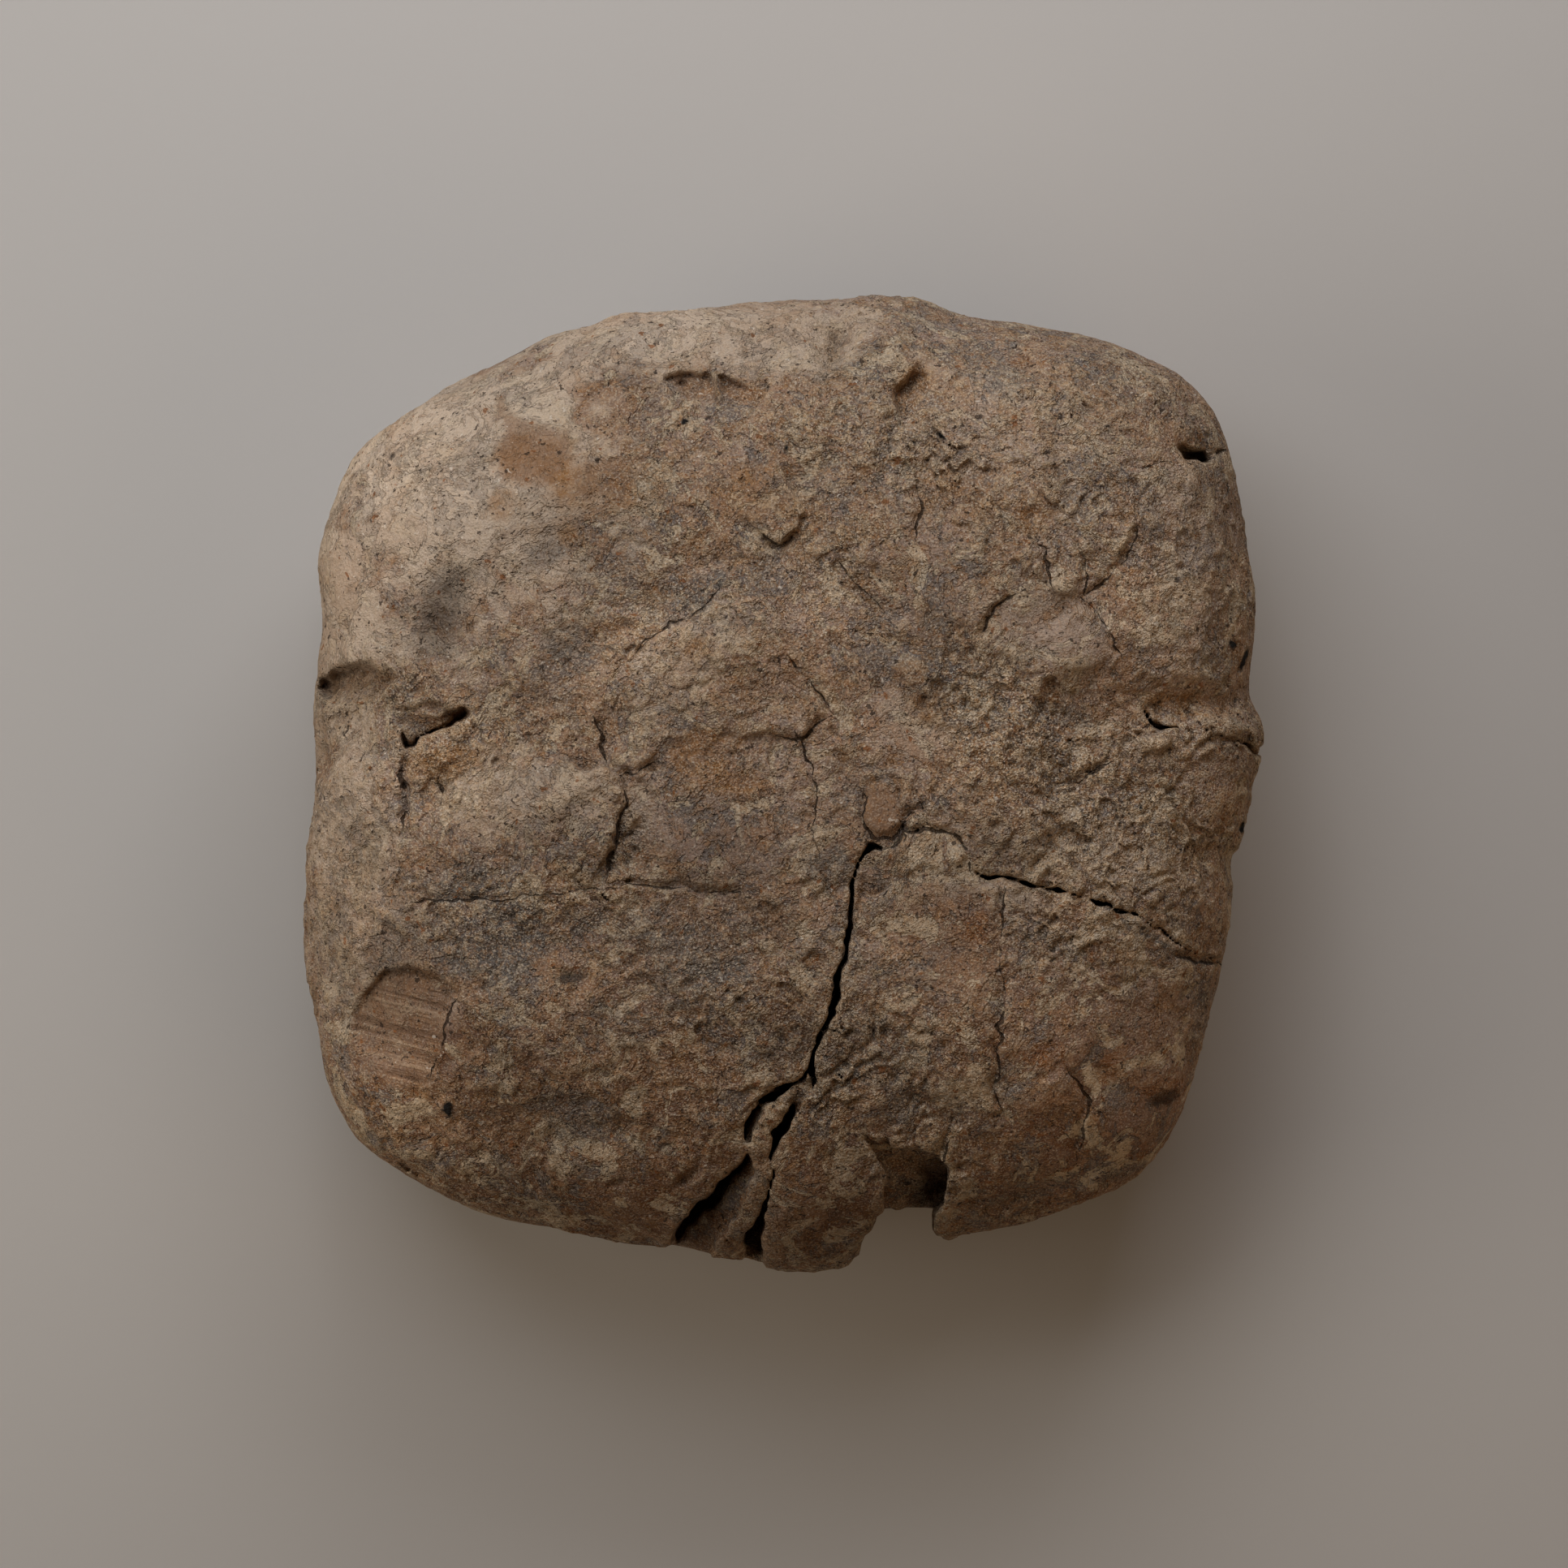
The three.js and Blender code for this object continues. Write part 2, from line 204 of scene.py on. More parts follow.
torn_x, torn_y = torn(plan_x, plan_y)
print(f"a straight line is torn by up to {np.hypot(torn_x - plan_x, torn_y - plan_y).max():.2f} mm")

# %% [markdown]
# ## Lines and outlines
# Cracks, steps and flakes all start as broken lines in plan. Two helpers measure from them: how far away a point is,
# on which side and how far along, and whether it lies inside a closed outline. Marks, rough ground and stains start
# as ovals, each given as x, y, half length, half width and turn in degrees. All plan measures are millimetres from
# the middle of the tablet.

# %% Lines and outlines


def from_line(line, x, y):
    """Distance to a broken line, side (+1 left of travel), share of the way along, and the line's third value."""
    line = np.array(line, dtype=np.float32)
    if line.shape[1] == 2:
        line = np.column_stack([line, np.ones(len(line), np.float32)])
    lengths = np.hypot(*np.diff(line[:, :2], axis=0).T)
    starts = np.concatenate([[0], np.cumsum(lengths)])
    near = np.full(x.shape, 1e6, np.float32)
    side, way, value = np.zeros_like(near), np.zeros_like(near), np.zeros_like(near)
    for a, b, length, start in zip(line[:-1], line[1:], lengths, starts):
        dx, dy = (b[:2] - a[:2]) / length
        t = np.clip((x - a[0]) * dx + (y - a[1]) * dy, 0, length)
        ex, ey = x - a[0] - t * dx, y - a[1] - t * dy
        d = np.hypot(ex, ey)
        closer = d < near
        near = np.where(closer, d, near)
        side = np.where(closer, np.sign(dx * ey - dy * ex), side)
        way = np.where(closer, (start + t) / starts[-1], way)
        value = np.where(closer, a[2] + (b[2] - a[2]) * t / length, value)
    return near, side, way, value


def from_outline(outline, x, y):
    """Distance to a closed outline, negative inside: a ray from there crosses the sides an odd number of times."""
    closed = [*outline, outline[0]]
    near = from_line(closed, x, y)[0]
    crossings = np.zeros(x.shape, int)
    for (ax, ay), (bx, by) in zip(closed[:-1], closed[1:]):
        spans = (ay > y) != (by > y)
        crossings += spans & (x < ax + (y - ay) * (bx - ax) / (by - ay if by != ay else 1))
    return np.where(crossings % 2 == 1, -near, near)


def turned(x, y, degrees):
    """The same places measured along and across a direction: x cos + y sin, and y cos - x sin."""
    c, s = np.cos(np.radians(degrees)), np.sin(np.radians(degrees))
    return x * c + y * s, y * c - x * s


def oval(x, y, spot):
    """How far out a point is in an oval: 0 in its middle, 1 on its edge."""
    along, across = turned(x - spot[0], y - spot[1], spot[4])
    return np.hypot(along / spot[2], across / spot[3])


def weight(spots, x, y, base=0.0):
    """Base plus the sum of amount * exp(-out^2) over soft ovals."""
    total = np.full(x.shape, base, np.float32)
    for spot in spots:
        total += spot[5] * np.exp(-oval(x, y, spot) ** 2)
    return total


def fading(way, past, fade):
    """1 along a line and 0 past its ends: it fades over a share of the way, and starts a little past the end."""
    return smooth_step(-past, fade, way) * (1 - smooth_step(1 - fade, 1 + past, way))


# %% [markdown]
# ## Swellings and dents
# These are the marks of the hands that patted the clay, and of later knocks. Each is an oval rise or dip. Soft ones
# fade like a bell curve. Crisp ones have a flat floor and a short slope.

# %% Swellings and dents
# Each: x, y, half length, half width, turn in degrees, rise in mm.
SOFT = [
    [-17, 18.5, 9, 6, 30, 0.45], [-13.2, -1.6, 3.6, 3, 0, 0.9], [-25, -3, 3, 4.5, 0, 0.4],
    [-20.9, 9.8, 1.7, 3, -12, -0.9], [-7, 11.5, 6, 1.9, 38, -0.6], [-4, 7.6, 5.5, 3.4, 38, 0.5],
    [-3.5, 14.8, 3.6, 2.8, 0, 0.3], [5.6, 0.6, 4.2, 3, 20, -0.5], [12.6, 5.2, 3.4, 3, 30, -0.6],
    [16.4, 8.8, 4, 2.8, 0, 0.4], [17.9, 4, 2.6, 2.3, 0, -0.7], [3.9, 26.3, 1.2, 3.4, -28, -0.7],
    [7.9, 24, 1.1, 1.7, -20, -0.7], [14, -14, 8.5, 6.5, 20, 0.45], [1.6, -25.5, 3, 3.6, 0, 0.5],
    [-11, -14.5, 8.5, 3.6, 12, 0.55], [-16, -21, 7.5, 2, 8, -0.5], [24.4, 5, 2.6, 1, -8, -0.8],
    # smaller ones
    [-13, 8.2, 2.2, 1.5, 15, -0.45], [-11.6, 5.6, 2.4, 1.6, -35, -0.35], [-12.9, 13.7, 1.3, 2.4, 25, -0.3],
    [-1.6, 17.9, 2.5, 1.9, 0, 0.35], [5.9, 21.2, 2.6, 1.4, -20, -0.3], [-1.5, 4.9, 2.6, 1.5, 25, -0.35],
    [-4.6, -4, 3.6, 2.2, 0, 0.25], [25.3, 19, 1.4, 1.8, 20, 0.4], [-8.6, 3.9, 1.3, 2.6, 20, 0.3],
    [-8.6, -2.6, 1.2, 2.2, 0, -0.5], [1.4, 12, 2.1, 1.4, -20, 0.25], [9.8, 13, 3.1, 2.4, 0, 0.25],
    [20.4, 17.6, 3, 4, -30, 0.2], [16.6, -2.4, 3.6, 1.3, -6, 0.35], [-3.6, -15.9, 2.6, 2, 0, -0.25],
    [9.5, -20, 2.4, 1.6, -20, -0.4], [13.7, -18.2, 1.2, 1.4, 0, -0.35], [20.3, -19, 2.2, 1.6, 0, -0.2],
    [15, -25.4, 4.2, 0.6, 17, -0.3], [-18.4, -7.9, 3.2, 1, 0, -0.25], [-12.5, -9.6, 3.4, 1.4, 15, -0.3],
    [-26.3, 4, 1.4, 1.6, 40, -0.5],
]
# Each also has the share of its half width that its slope takes.
CRISP = [
    [7.75, 24.2, 0.45, 1.35, -22, -0.35, 0.6], [3.6, 27.1, 0.6, 1.4, -32, -0.45, 0.6],
    [25.1, 20.42, 0.95, 0.3, -6, -1.9, 0.4], [-5.7, -24.3, 0.78, 0.3, 22, -0.5, 0.6],
    [-10.1, -24.8, 0.5, 0.22, 10, -0.35, 0.7], [-22.8, -23.8, 0.9, 0.35, -25, -0.4, 0.6],
    [-19.75, 4.1, 0.5, 0.26, 30, -1.6, 0.4], [-28.5, 1.3, 0.4, 1.1, 0, -0.25, 0.4],
    [27.9, -5.2, 0.5, 0.9, 0, -0.4, 0.7], [10.7, 7.4, 0.9, 0.7, 40, -0.4, 0.6], [7.7, 6.7, 1.05, 0.85, 0, 0.35, 0.35],
    [7.5, -0.7, 0.35, 1.5, -8, 0.3, 0.6], [10.7, -4.55, 0.62, 0.42, 25, 0.35, 0.4],
    [-21.1, 1.5, 1.6, 0.75, 12, 0.3, 0.5], [22.9, 2.5, 0.9, 0.6, 10, 0.35, 0.5], [18.2, 1.3, 0.7, 0.5, 30, 0.3, 0.5],
    [-6, 24.4, 0.3, 0.25, 0, -0.7, 0.5], [-10.2, -21, 0.9, 0.8, 0, -0.3, 0.6],
    [-12.9, -11.7, 0.9, 0.35, 8, -0.3, 0.6], [5.8, -9, 1.2, 1, 0, -0.18, 0.7], [0.2, -8.8, 1, 1.2, 0, -0.3, 0.6],
]


def pressed(x, y):
    """Sum of the soft ovals, each rise * exp(-out^2), and of the crisp ones, each rise * a step at its edge."""
    rise = weight(SOFT, x, y)
    for spot in CRISP:
        rise += spot[5] * (1 - smooth_step(1 - spot[6], 1 + spot[6], oval(x, y, spot)))
    return rise


print(f"{len(SOFT)} soft and {len(CRISP)} crisp marks")

# %% [markdown]
# ## Hollows with a leaning floor
# A chip leaves a hollow that is deep along one side, where it tore off, and runs out to nothing on the other. Each is
# an outline with a direction: deepest where the direction points. The blade mark at the lower left is one of these
# too: the blade went in at its top edge and came out lower down.

# %% Leaning hollows
BLADE_MARK = [
    [-24.4, -11.5], [-22.1, -11.6], [-20, -12.8], [-20.6, -15.2], [-21.3, -17.9], [-22.6, -18.7], [-25, -17.3],
    [-26.5, -15.9], [-26.5, -14.5], [-25.4, -12.7],
]
PEBBLE = [[4.95, -0.3], [6.05, 0.1], [6.75, -0.2], [7, -1.15], [7.1, -2.3], [6.75, -3.05], [5.6, -3.2], [5, -2.3]]
LEFT_SLOT = [
    [-7.1, 24.6], [-6.4, 25.1], [-5.4, 25.3], [-4.5, 25], [-4.05, 24.7], [-4, 23.4], [-5.6, 23.4], [-6.3, 23.8],
]
RIGHT_SLOT = [[-3.75, 24.9], [-3.3, 24.8], [-2.5, 24.5], [-1.8, 24.2], [-1.1, 23.7], [-1.9, 23.3], [-3.7, 23.35]]
# Each: depth in mm (minus for a rise), direction of the deep side in degrees, share of the depth on the shallow side,
# how wide the edge is in mm, then the outline.
LEANING = [
    [0.8, 72, 0.12, 0.2, BLADE_MARK], [0.95, 85, 0.3, 0.16, LEFT_SLOT], [0.85, 100, 0.3, 0.14, RIGHT_SLOT],
    [0.95, 150, 0.1, 0.25, [[7, 22.9], [7.3, 24.3], [7.9, 25.2], [8.7, 25.1], [8.9, 23.9], [8.3, 22.5], [7.4, 22.4]]],
    [2, 95, 0.15, 0.4, [[-28.6, 5.9], [-28, 6.6], [-26.6, 6.8], [-25.3, 7.1], [-23.6, 6.7], [-24.4, 5.7], [-25.3, 5],
        [-26.7, 4.9], [-27.8, 4.8]]],
    [0.9, 90, 0.1, 0.12, [[-23.35, 4.4], [-21.1, 4.7], [-20.6, 4.2], [-21.5, 3.95], [-22.9, 4.05]]],
    [1.5, -45, 0.1, 0.12, [[-23.7, 3.6], [-22.7, 4], [-21.6, 3.85], [-20.7, 4.1], [-19.3, 4.5], [-19.3, 4], [-20.5,
        3.4], [-21.3, 3], [-22.4, 2.4], [-23.2, 2]]],
    [0.8, -80, 0, 0.25, [[24.3, 21.7], [25.4, 21.9], [26.1, 21.2], [26.2, 20.3], [24, 20.3], [23.9, 21]]],
    [2, 142, 0, 0.12, [[-2.1, -22.8], [-3.2, -23.8], [-4.3, -24.9], [-5.2, -25.9], [-6, -26.9], [-6.7, -27.9], [-7.5,
        -29.5], [-8, -31.5], [-4.8, -31.5], [-4.2, -29], [-3.6, -27.8], [-3, -26.6], [-2.4, -25.4], [-1.9, -24.2]]],
    [0.7, -125, 0, 0.2, [[22.1, 4.9], [23.4, 5.3], [25.2, 5], [25.8, 4.2], [24.4, 3.4], [22.9, 3.6], [22.3, 4.2]]],
    [0.7, -110, 0.1, 0.15, [[5.1, -4.3], [6.4, -4.7], [8.2, -4.9], [8.6, -5.3], [6.6, -6.3], [5.6, -6.9], [4.7,
        -7.3]]],
    [-0.4, 90, 0.7, 0.16, PEBBLE],
    [0.5, 170, 0.1, 0.15, [[0.6, -18], [2.2, -18.2], [2.6, -19.6], [1.6, -20.6], [0.7, -20.2]]],
]


def leaned(x, y):
    """In each outline: minus depth * (floor + (1 - floor) * share towards the deep side), with a step at its edge."""
    rise = np.zeros(x.shape, np.float32)
    for deep, toward, floor, soft, outline in LEANING:
        ends = turned(*np.array(outline).T, toward)[0]
        share = np.clip((turned(x, y, toward)[0] - ends.min()) / np.ptp(ends), 0, 1)
        inside = smooth_step(soft, -soft, from_outline(outline, x, y))
        rise -= deep * (floor + (1 - floor) * share) * inside
    return rise


print(f"{len(LEANING)} leaning hollows")

# %% [markdown]
# ## Steps where a skin of clay has lifted
# The face is layered. Where a thin layer ends there is a step: high on one side, low on the other, and level again a
# few millimetres away. Each step is a line, and it is high on the left of its direction of travel.

# %% Steps
# Each: height in mm, how far the lift reaches, then the line.
STEPS = [
    [0.5, 2.5, [[4.95, 29.1], [4.2, 27.6], [3.3, 26.2], [2.6, 24.9], [1.45, 23.9], [0.2, 23.9]]],
    [0.75, 2, [[-2.6, 16.6], [-1.9, 16], [-1.3, 15.5], [-0.6, 15], [0, 14.8], [0.8, 15.5], [1.2, 16.6], [0.8, 17.6],
        [0.4, 18.7], [-0.4, 19.8]]],
    [0.6, 1.5, [[6, 15.6], [6.2, 14.4], [7, 14], [8.1, 14.3], [8.4, 15.6], [8.45, 17.2], [8.1, 18.4], [7.2, 18.9]]],
    [0.5, 3, [[-2.75, 13.95], [-3.1, 12.9], [-3.75, 11.65], [-4.85, 10.75], [-5.6, 10.15], [-6.8, 9.65], [-7.4, 8.6],
        [-8.8, 7.85]]],
    [0.6, 3, [[11.7, 8.8], [12.1, 9.65], [12.25, 10.25], [13.05, 11], [13.85, 11.5], [15, 11.75], [16.1, 11.85],
        [17.25, 11.7], [18.2, 11.35]]],
    [0.5, 1.8, [[16.15, 11.9], [15.75, 13.25], [15.9, 14.15], [15.2, 14.9], [14, 15.1]]],
    [0.35, 1.4, [[18.2, 11.35], [18, 12.2], [18.15, 13.85], [19.35, 14.15], [20.45, 14.55]]],
    [0.4, 1.8, [[17.6, 11], [18.2, 11.5], [19.6, 12.45], [20.65, 13.3], [21.3, 14.55], [21.55, 15.95]]],
    [0.4, 1.6, [[20.45, 7.7], [19.6, 9.65], [18.2, 11.35]]],
    [1.5, 2.2, [[-10.7, -5.8], [-10.5, -4.9], [-10.4, -3.3], [-10.1, -2.3], [-9.7, -1.4], [-9.5, -0.6], [-9.8, 0.4],
        [-10.9, 1], [-12.2, 0.95], [-12.9, 1.3], [-13.9, 1.7]]],
    [0.4, 1.6, [[-10.6, 1.15], [-10.9, 2.05], [-11.05, 3.15], [-11.5, 4.05]]],
    [0.3, 2, [[-15.95, 1.85], [-17.25, 0.65], [-18.6, 1.1]]],
    [0.7, 2.5, [[-6.3, 3.6], [-5.15, 3.15], [-2.85, 2.9], [-0.7, 3], [0.4, 2.7], [1.3, 2.6], [1.75, 3.3], [2.05,
        3.75], [3, 4.2]]],
    [0.3, 1.6, [[3, 4.2], [3.9, 4.4], [4.8, 4.2], [5.4, 3.4]]],
    [0.35, 2, [[-4.6, 7.4], [-3.4, 6.6], [-2.2, 5.9], [-0.9, 6.4], [-0.4, 7.6]]],
    [0.6, 2.2, [[9.2, -0.9], [10.6, -1.3], [12, -0.6], [13.35, -0.9], [14.8, -1.1], [15.9, -0.5], [16.5, 0.6], [16.1,
        1.6]]],
    [0.35, 1.4, [[17.3, 0.4], [17.95, 0.25], [19.15, 0.85], [20.05, 1.45]]],
    [0.45, 2, [[17, 3.1], [16.25, 3.65], [15.85, 4.2], [15.7, 5.9], [15.95, 6.45], [17.1, 6.75], [19.75, 7.15]]],
    [0.45, 2.2, [[5.9, 5.7], [7.2, 5.2], [8.6, 3.9], [9.5, 2.4], [10.4, 1.3]][::-1]],
    [0.45, 2.2, [[7.6, 12.6], [6.9, 11.2], [6.6, 9.7], [6.8, 8.5]]],
    [0.4, 1.6, [[11, 8.6], [10.2, 7.8], [10, 6.4], [11.2, 5.2], [10.9, 3.9]]],
    [0.3, 1.3, [[3.15, 13.5], [3.7, 12.7], [4.2, 12.15]]],
    [0.5, 2.6, [[24.1, -3.6], [22.1, -3.1], [19.45, -3.75], [17.6, -4.05], [16, -4.9]]],
    [0.45, 1.8, [[13.05, -9.1], [13, -8.3], [13.35, -7.4], [12.85, -6.7], [10.95, -5.7], [8.7, -4.45]]],
    [0.25, 1.6, [[13.2, -19.75], [12.65, -18.85], [12.4, -18.1], [12.9, -17.3], [13.1, -15.35], [12.8, -14.55], [13.2,
        -13.8], [13.2, -11.5]]],
    [0.3, 1.4, [[17.8, -22.65], [18.3, -21.45], [18.55, -20.05], [18.45, -19], [17.8, -17.95], [17.1, -17]]],
    [0.55, 2, [[-22.65, -0.75], [-21.65, 0], [-21.35, 0.45], [-20.4, 0.65], [-19.65, 0.65], [-19, 1.2]]],
    [0.5, 1.6, [[-23.2, -3.6], [-23.05, -1.7], [-23.3, 0.35], [-23.3, 1.95]]],
    [0.5, 2.4, [[-24, 1.5], [-25.25, 1.65], [-26.2, 1.35], [-27.25, 0.8], [-28.05, 0.05], [-28.8, -1.15]]],
    [0.5, 2.6, [[-18.55, -6.95], [-17.15, -7.1], [-15.95, -6.95], [-13.05, -6.5], [-10.6, -6.2]]],
    [0.35, 1.8, [[-9.05, -6.05], [-7.25, -6.2], [-5.15, -6.5], [-3.9, -6.6], [-1.75, -6.5], [1, -5.9], [2.4, -5.6]]],
    [0.5, 3, [[-22.3, -20.6], [-20.55, -20.05], [-18.5, -19.6], [-16.7, -19.3], [-16, -18.5]]],
    [0.35, 2.2, [[-12.5, -20.6], [-10.6, -19.5], [-9, -18.7]]],
    [0.2, 2, [[0.9, 8.9], [-0.2, 10.2], [-1.2, 11.2], [-1.6, 12.8]]],
    [0.45, 1.6, [[4.2, 19.7], [5.4, 19.2], [6.2, 19.9], [7.6, 19.5], [9.2, 20.3]]],
    [0.4, 1.6, [[2.9, 21.3], [3.6, 20.6], [4.6, 20.4], [5.5, 20.9]]],
    [0.35, 1.6, [[-8.7, 1.2], [-7.4, 2], [-6.9, 3], [-6.3, 3.6]]],
    [0.35, 1.4, [[-0.9, 23.4], [-1.9, 23.1], [-4, 23.2], [-6.2, 23.3]]],
    [0.3, 1.2, [[-0.9, -28.6], [-1.6, -27], [-1.1, -25.6], [-0.8, -24.2]]],
]
# Thin raised lines: rise in mm, half width in mm, then the line.
RIDGES = [
    [0.4, 0.28, [[-19.95, -12.5], [-20.4, -14], [-20.75, -15.6], [-21.35, -17.6]]],
    [0.35, 0.3, [[29.5, 3.1], [28.2, 3.4], [26.75, 3.75], [25.2, 3.9]]],
    [0.4, 0.22, [[-4.05, 25.1], [-3.85, 24.5], [-3.9, 23.4]]], [0.3, 0.3, [[21.4, 16.4], [20.9, 14.9], [20.1, 13.5]]],
    [0.3, 0.25, [[4.6, -0.4], [5, 0.35], [6, 0.75], [6.9, 0.5], [7.6, -0.3]]],
    [0.3, 0.25, [[7, -5.7], [8.6, -4.9], [9.9, -4.9]]], [0.25, 0.3, [[-13.6, 8.9], [-14.6, 9.8], [-15.4, 11.6]]],
    [0.25, 0.25, [[6.6, 5.3], [7.4, 5.9], [8.6, 5.6], [9.4, 4.3]]],
]


def stepped(x, y):
    """Each step adds +-0.42 height by its side, fading as exp(-(distance / 1.6 reach)^2) and uneven along it."""
    rise = np.zeros(x.shape, np.float32)
    uneven = 0.1 + 0.9 * smooth_step(-0.4, 0.5, ground(x, y, 0, 2.2, 91))
    for tall, reach, line in STEPS:
        near, side, way, _ = from_line(line, x, y)
        edge = side * smooth_step(0, 0.12, near)
        rise += 0.42 * tall * edge * np.exp(-((near / (1.6 * reach)) ** 2)) * fading(way, 0, 0.12) * uneven
    for tall, wide, line in RIDGES:
        near, _, way, _ = from_line(line, x, y)
        rise += tall * np.exp(-((near / wide) ** 2)) * smooth_step(0, 0.15, way) * (1 - smooth_step(0.85, 1, way))
    return rise


print(f"{len(STEPS)} steps and {len(RIDGES)} ridges")

# %% [markdown]
# ## Fine cracks
# A drying lump opens fine cracks. They follow the steps in part, because the layers part along them. Their mouths
# slope in over a few tenths of a millimetre, and that is cut here. The slit itself is a tenth of a millimetre wide,
# narrower than any triangle of the skin, so its line is kept for the material.

# %% Fine cracks
# Each: width in mm, depth in mm, then the line.
FINE = [
    [0.14, 0.5, [[-22.6, -6.95], [-21.3, -7.1], [-19.6, -7], [-18.2, -6.95]]],
    [0.07, 0.2, [[-18.55, -6.95], [-17.15, -7.1], [-15.95, -6.95], [-13.05, -6.5], [-10.6, -6.2]]],
    [0.15, 0.6, [[-10.6, -6.2], [-9.05, -6.05], [-7.25, -6.2], [-5.15, -6.5], [-3.9, -6.6], [-2.4, -6.55]]],
    [0.12, 0.5, [[-2.75, 13.95], [-3.75, 11.65], [-4.85, 10.75], [-5.6, 10.15], [-6.8, 9.65], [-8.8, 7.85]]],
    [0.14, 0.6, [[15.2, 14.9], [15.9, 14.15], [15.75, 13.25], [16.15, 11.9], [16.4, 11.75]]],
    [0.12, 0.4, [[11.9, 9.3], [12.1, 9.65], [12.25, 10.25], [13.05, 11], [13.85, 11.5]]],
    [0.12, 0.5, [[18.2, 11.35], [19.6, 9.65], [20.45, 7.7]]],
    [0.12, 0.4, [[21.55, 15.95], [21.3, 14.55], [20.65, 13.3], [19.6, 12.45], [18.2, 11.5], [18.1, 13.7]]],
    [0.13, 0.6, [[0.45, 7.75], [1.3, 6.35], [2.2, 5.3], [3, 4.2]]],
    [0.13, 0.5, [[3, 4.2], [2.05, 3.75], [1.75, 3.3], [1.3, 2.6], [0.4, 2.7], [-0.7, 3]]],
    [0.12, 0.4, [[0.85, 2.7], [1.6, 1.15], [1.9, -1], [1.9, -3.45], [2.2, -4.2]]],
    [0.16, 0.6, [[-9.75, 0.4], [-9.5, -0.85], [-10.1, -2.2], [-10.25, -3.3], [-10.5, -4.8], [-10.7, -5.8]]],
    [0.14, 0.5, [[-11.5, 4.05], [-11.05, 3.15], [-10.9, 2.05], [-10.6, 1.15]]],
    [0.12, 0.4, [[-9.7, 0.55], [-8.8, 0.7], [-7.75, 1.3]]],
    [0.2, 0.9, [[-23.3, 1.95], [-23.2, 1], [-23.3, 0.35], [-23.1, -0.2], [-23, -1.05], [-23.05, -1.7], [-23.3, -3]]],
    [0.15, 0.5, [[-20.8, 0.05], [-20.75, -1.15], [-20.35, -1.8]]],
    [0.16, 0.7, [[13.2, -11.5], [13.2, -13.8], [12.8, -14.55], [13.1, -15.35], [12.9, -17.3], [12.4, -18.1], [12.65,
        -18.85], [13.2, -19.75]]],
    [0.16, 0.7, [[17.1, -17], [17.8, -17.95], [18.45, -19], [18.55, -20.05], [18.3, -21.45], [17.8, -22.65]]],
    [0.16, 0.7, [[10.5, -20.5], [10.15, -21.85], [9.9, -23.05]]],
    [0.18, 0.8, [[6.25, -6.4], [5.75, -6.95], [5.05, -7.5], [4.6, -8.05]]],
    [0.1, 0.25, [[23.15, 19.45], [22.2, 19.2], [21.3, 19.15]]],
    [0.16, 0.6, [[26.05, 20.25], [26.65, 20.7], [27.35, 20.7]]],
    [0.14, 0.6, [[23.75, -10.45], [25.9, -11.2], [27.35, -11.35]]],
    [0.14, 0.4, [[17.3, 0.4], [17.95, 0.25], [19.15, 0.85], [20.05, 1.45]]],
    [0.14, 0.4, [[13.2, -6.6], [13.3, -8.3], [13.2, -11.5]]],
    [0.14, 0.5, [[-1.3, 15.35], [-0.6, 14.85], [0.05, 14.65], [1, 15.05]]],
    [0.14, 0.4, [[8.1, 18.2], [8.3, 16.6], [7.9, 14.6]]], [0.12, 0.3, [[3.15, 13.5], [4.2, 12.15], [5.8, 10.6]]],
    [0.2, 0.6, [[8.45, -1.05], [8.3, -1.65], [7.55, -1.95], [7.25, -2.75], [7.1, -3.55], [6.05, -4.1]]],
    [0.2, 0.5, [[7.25, -2.85], [7.75, -3.05], [8.55, -2.9], [9.45, -3.05], [10.4, -3.4], [11.3, -4.1], [11.25,
        -5.25]]],
    [0.18, 0.5, [[4.8, -0.2], [4.75, -1.4], [4.95, -2.6], [5.5, -3.35], [6.7, -3.25], [7.2, -2.2]]],
    [0.14, 0.4, [[-19.9, -12.9], [-20.6, -15.3], [-21.3, -17.8]]],
]


def cracked(x, y):
    """Each crack is a groove, 0.55 depth * exp(-(distance / (width + 0.06))^2), that runs out at both ends."""
    drop = np.zeros(x.shape, np.float32)
    for wide, deep, line in FINE:
        near, _, way, _ = from_line(line, x, y)
        drop = np.maximum(drop, 0.55 * deep * np.exp(-((near / (0.06 + wide)) ** 2)) * fading(way, 0.05, 0.12))
    return drop


print(f"{len(FINE)} fine cracks")

# %% [markdown]
# ## How rough it is, and where
# The upper left is rubbed smooth. The middle and the right are crumbled, because the skin has gone from them. The
# lower left is dragged: its grain is drawn out to the upper right. Each kind of ground has a weight for every point
# in plan, from soft ovals.

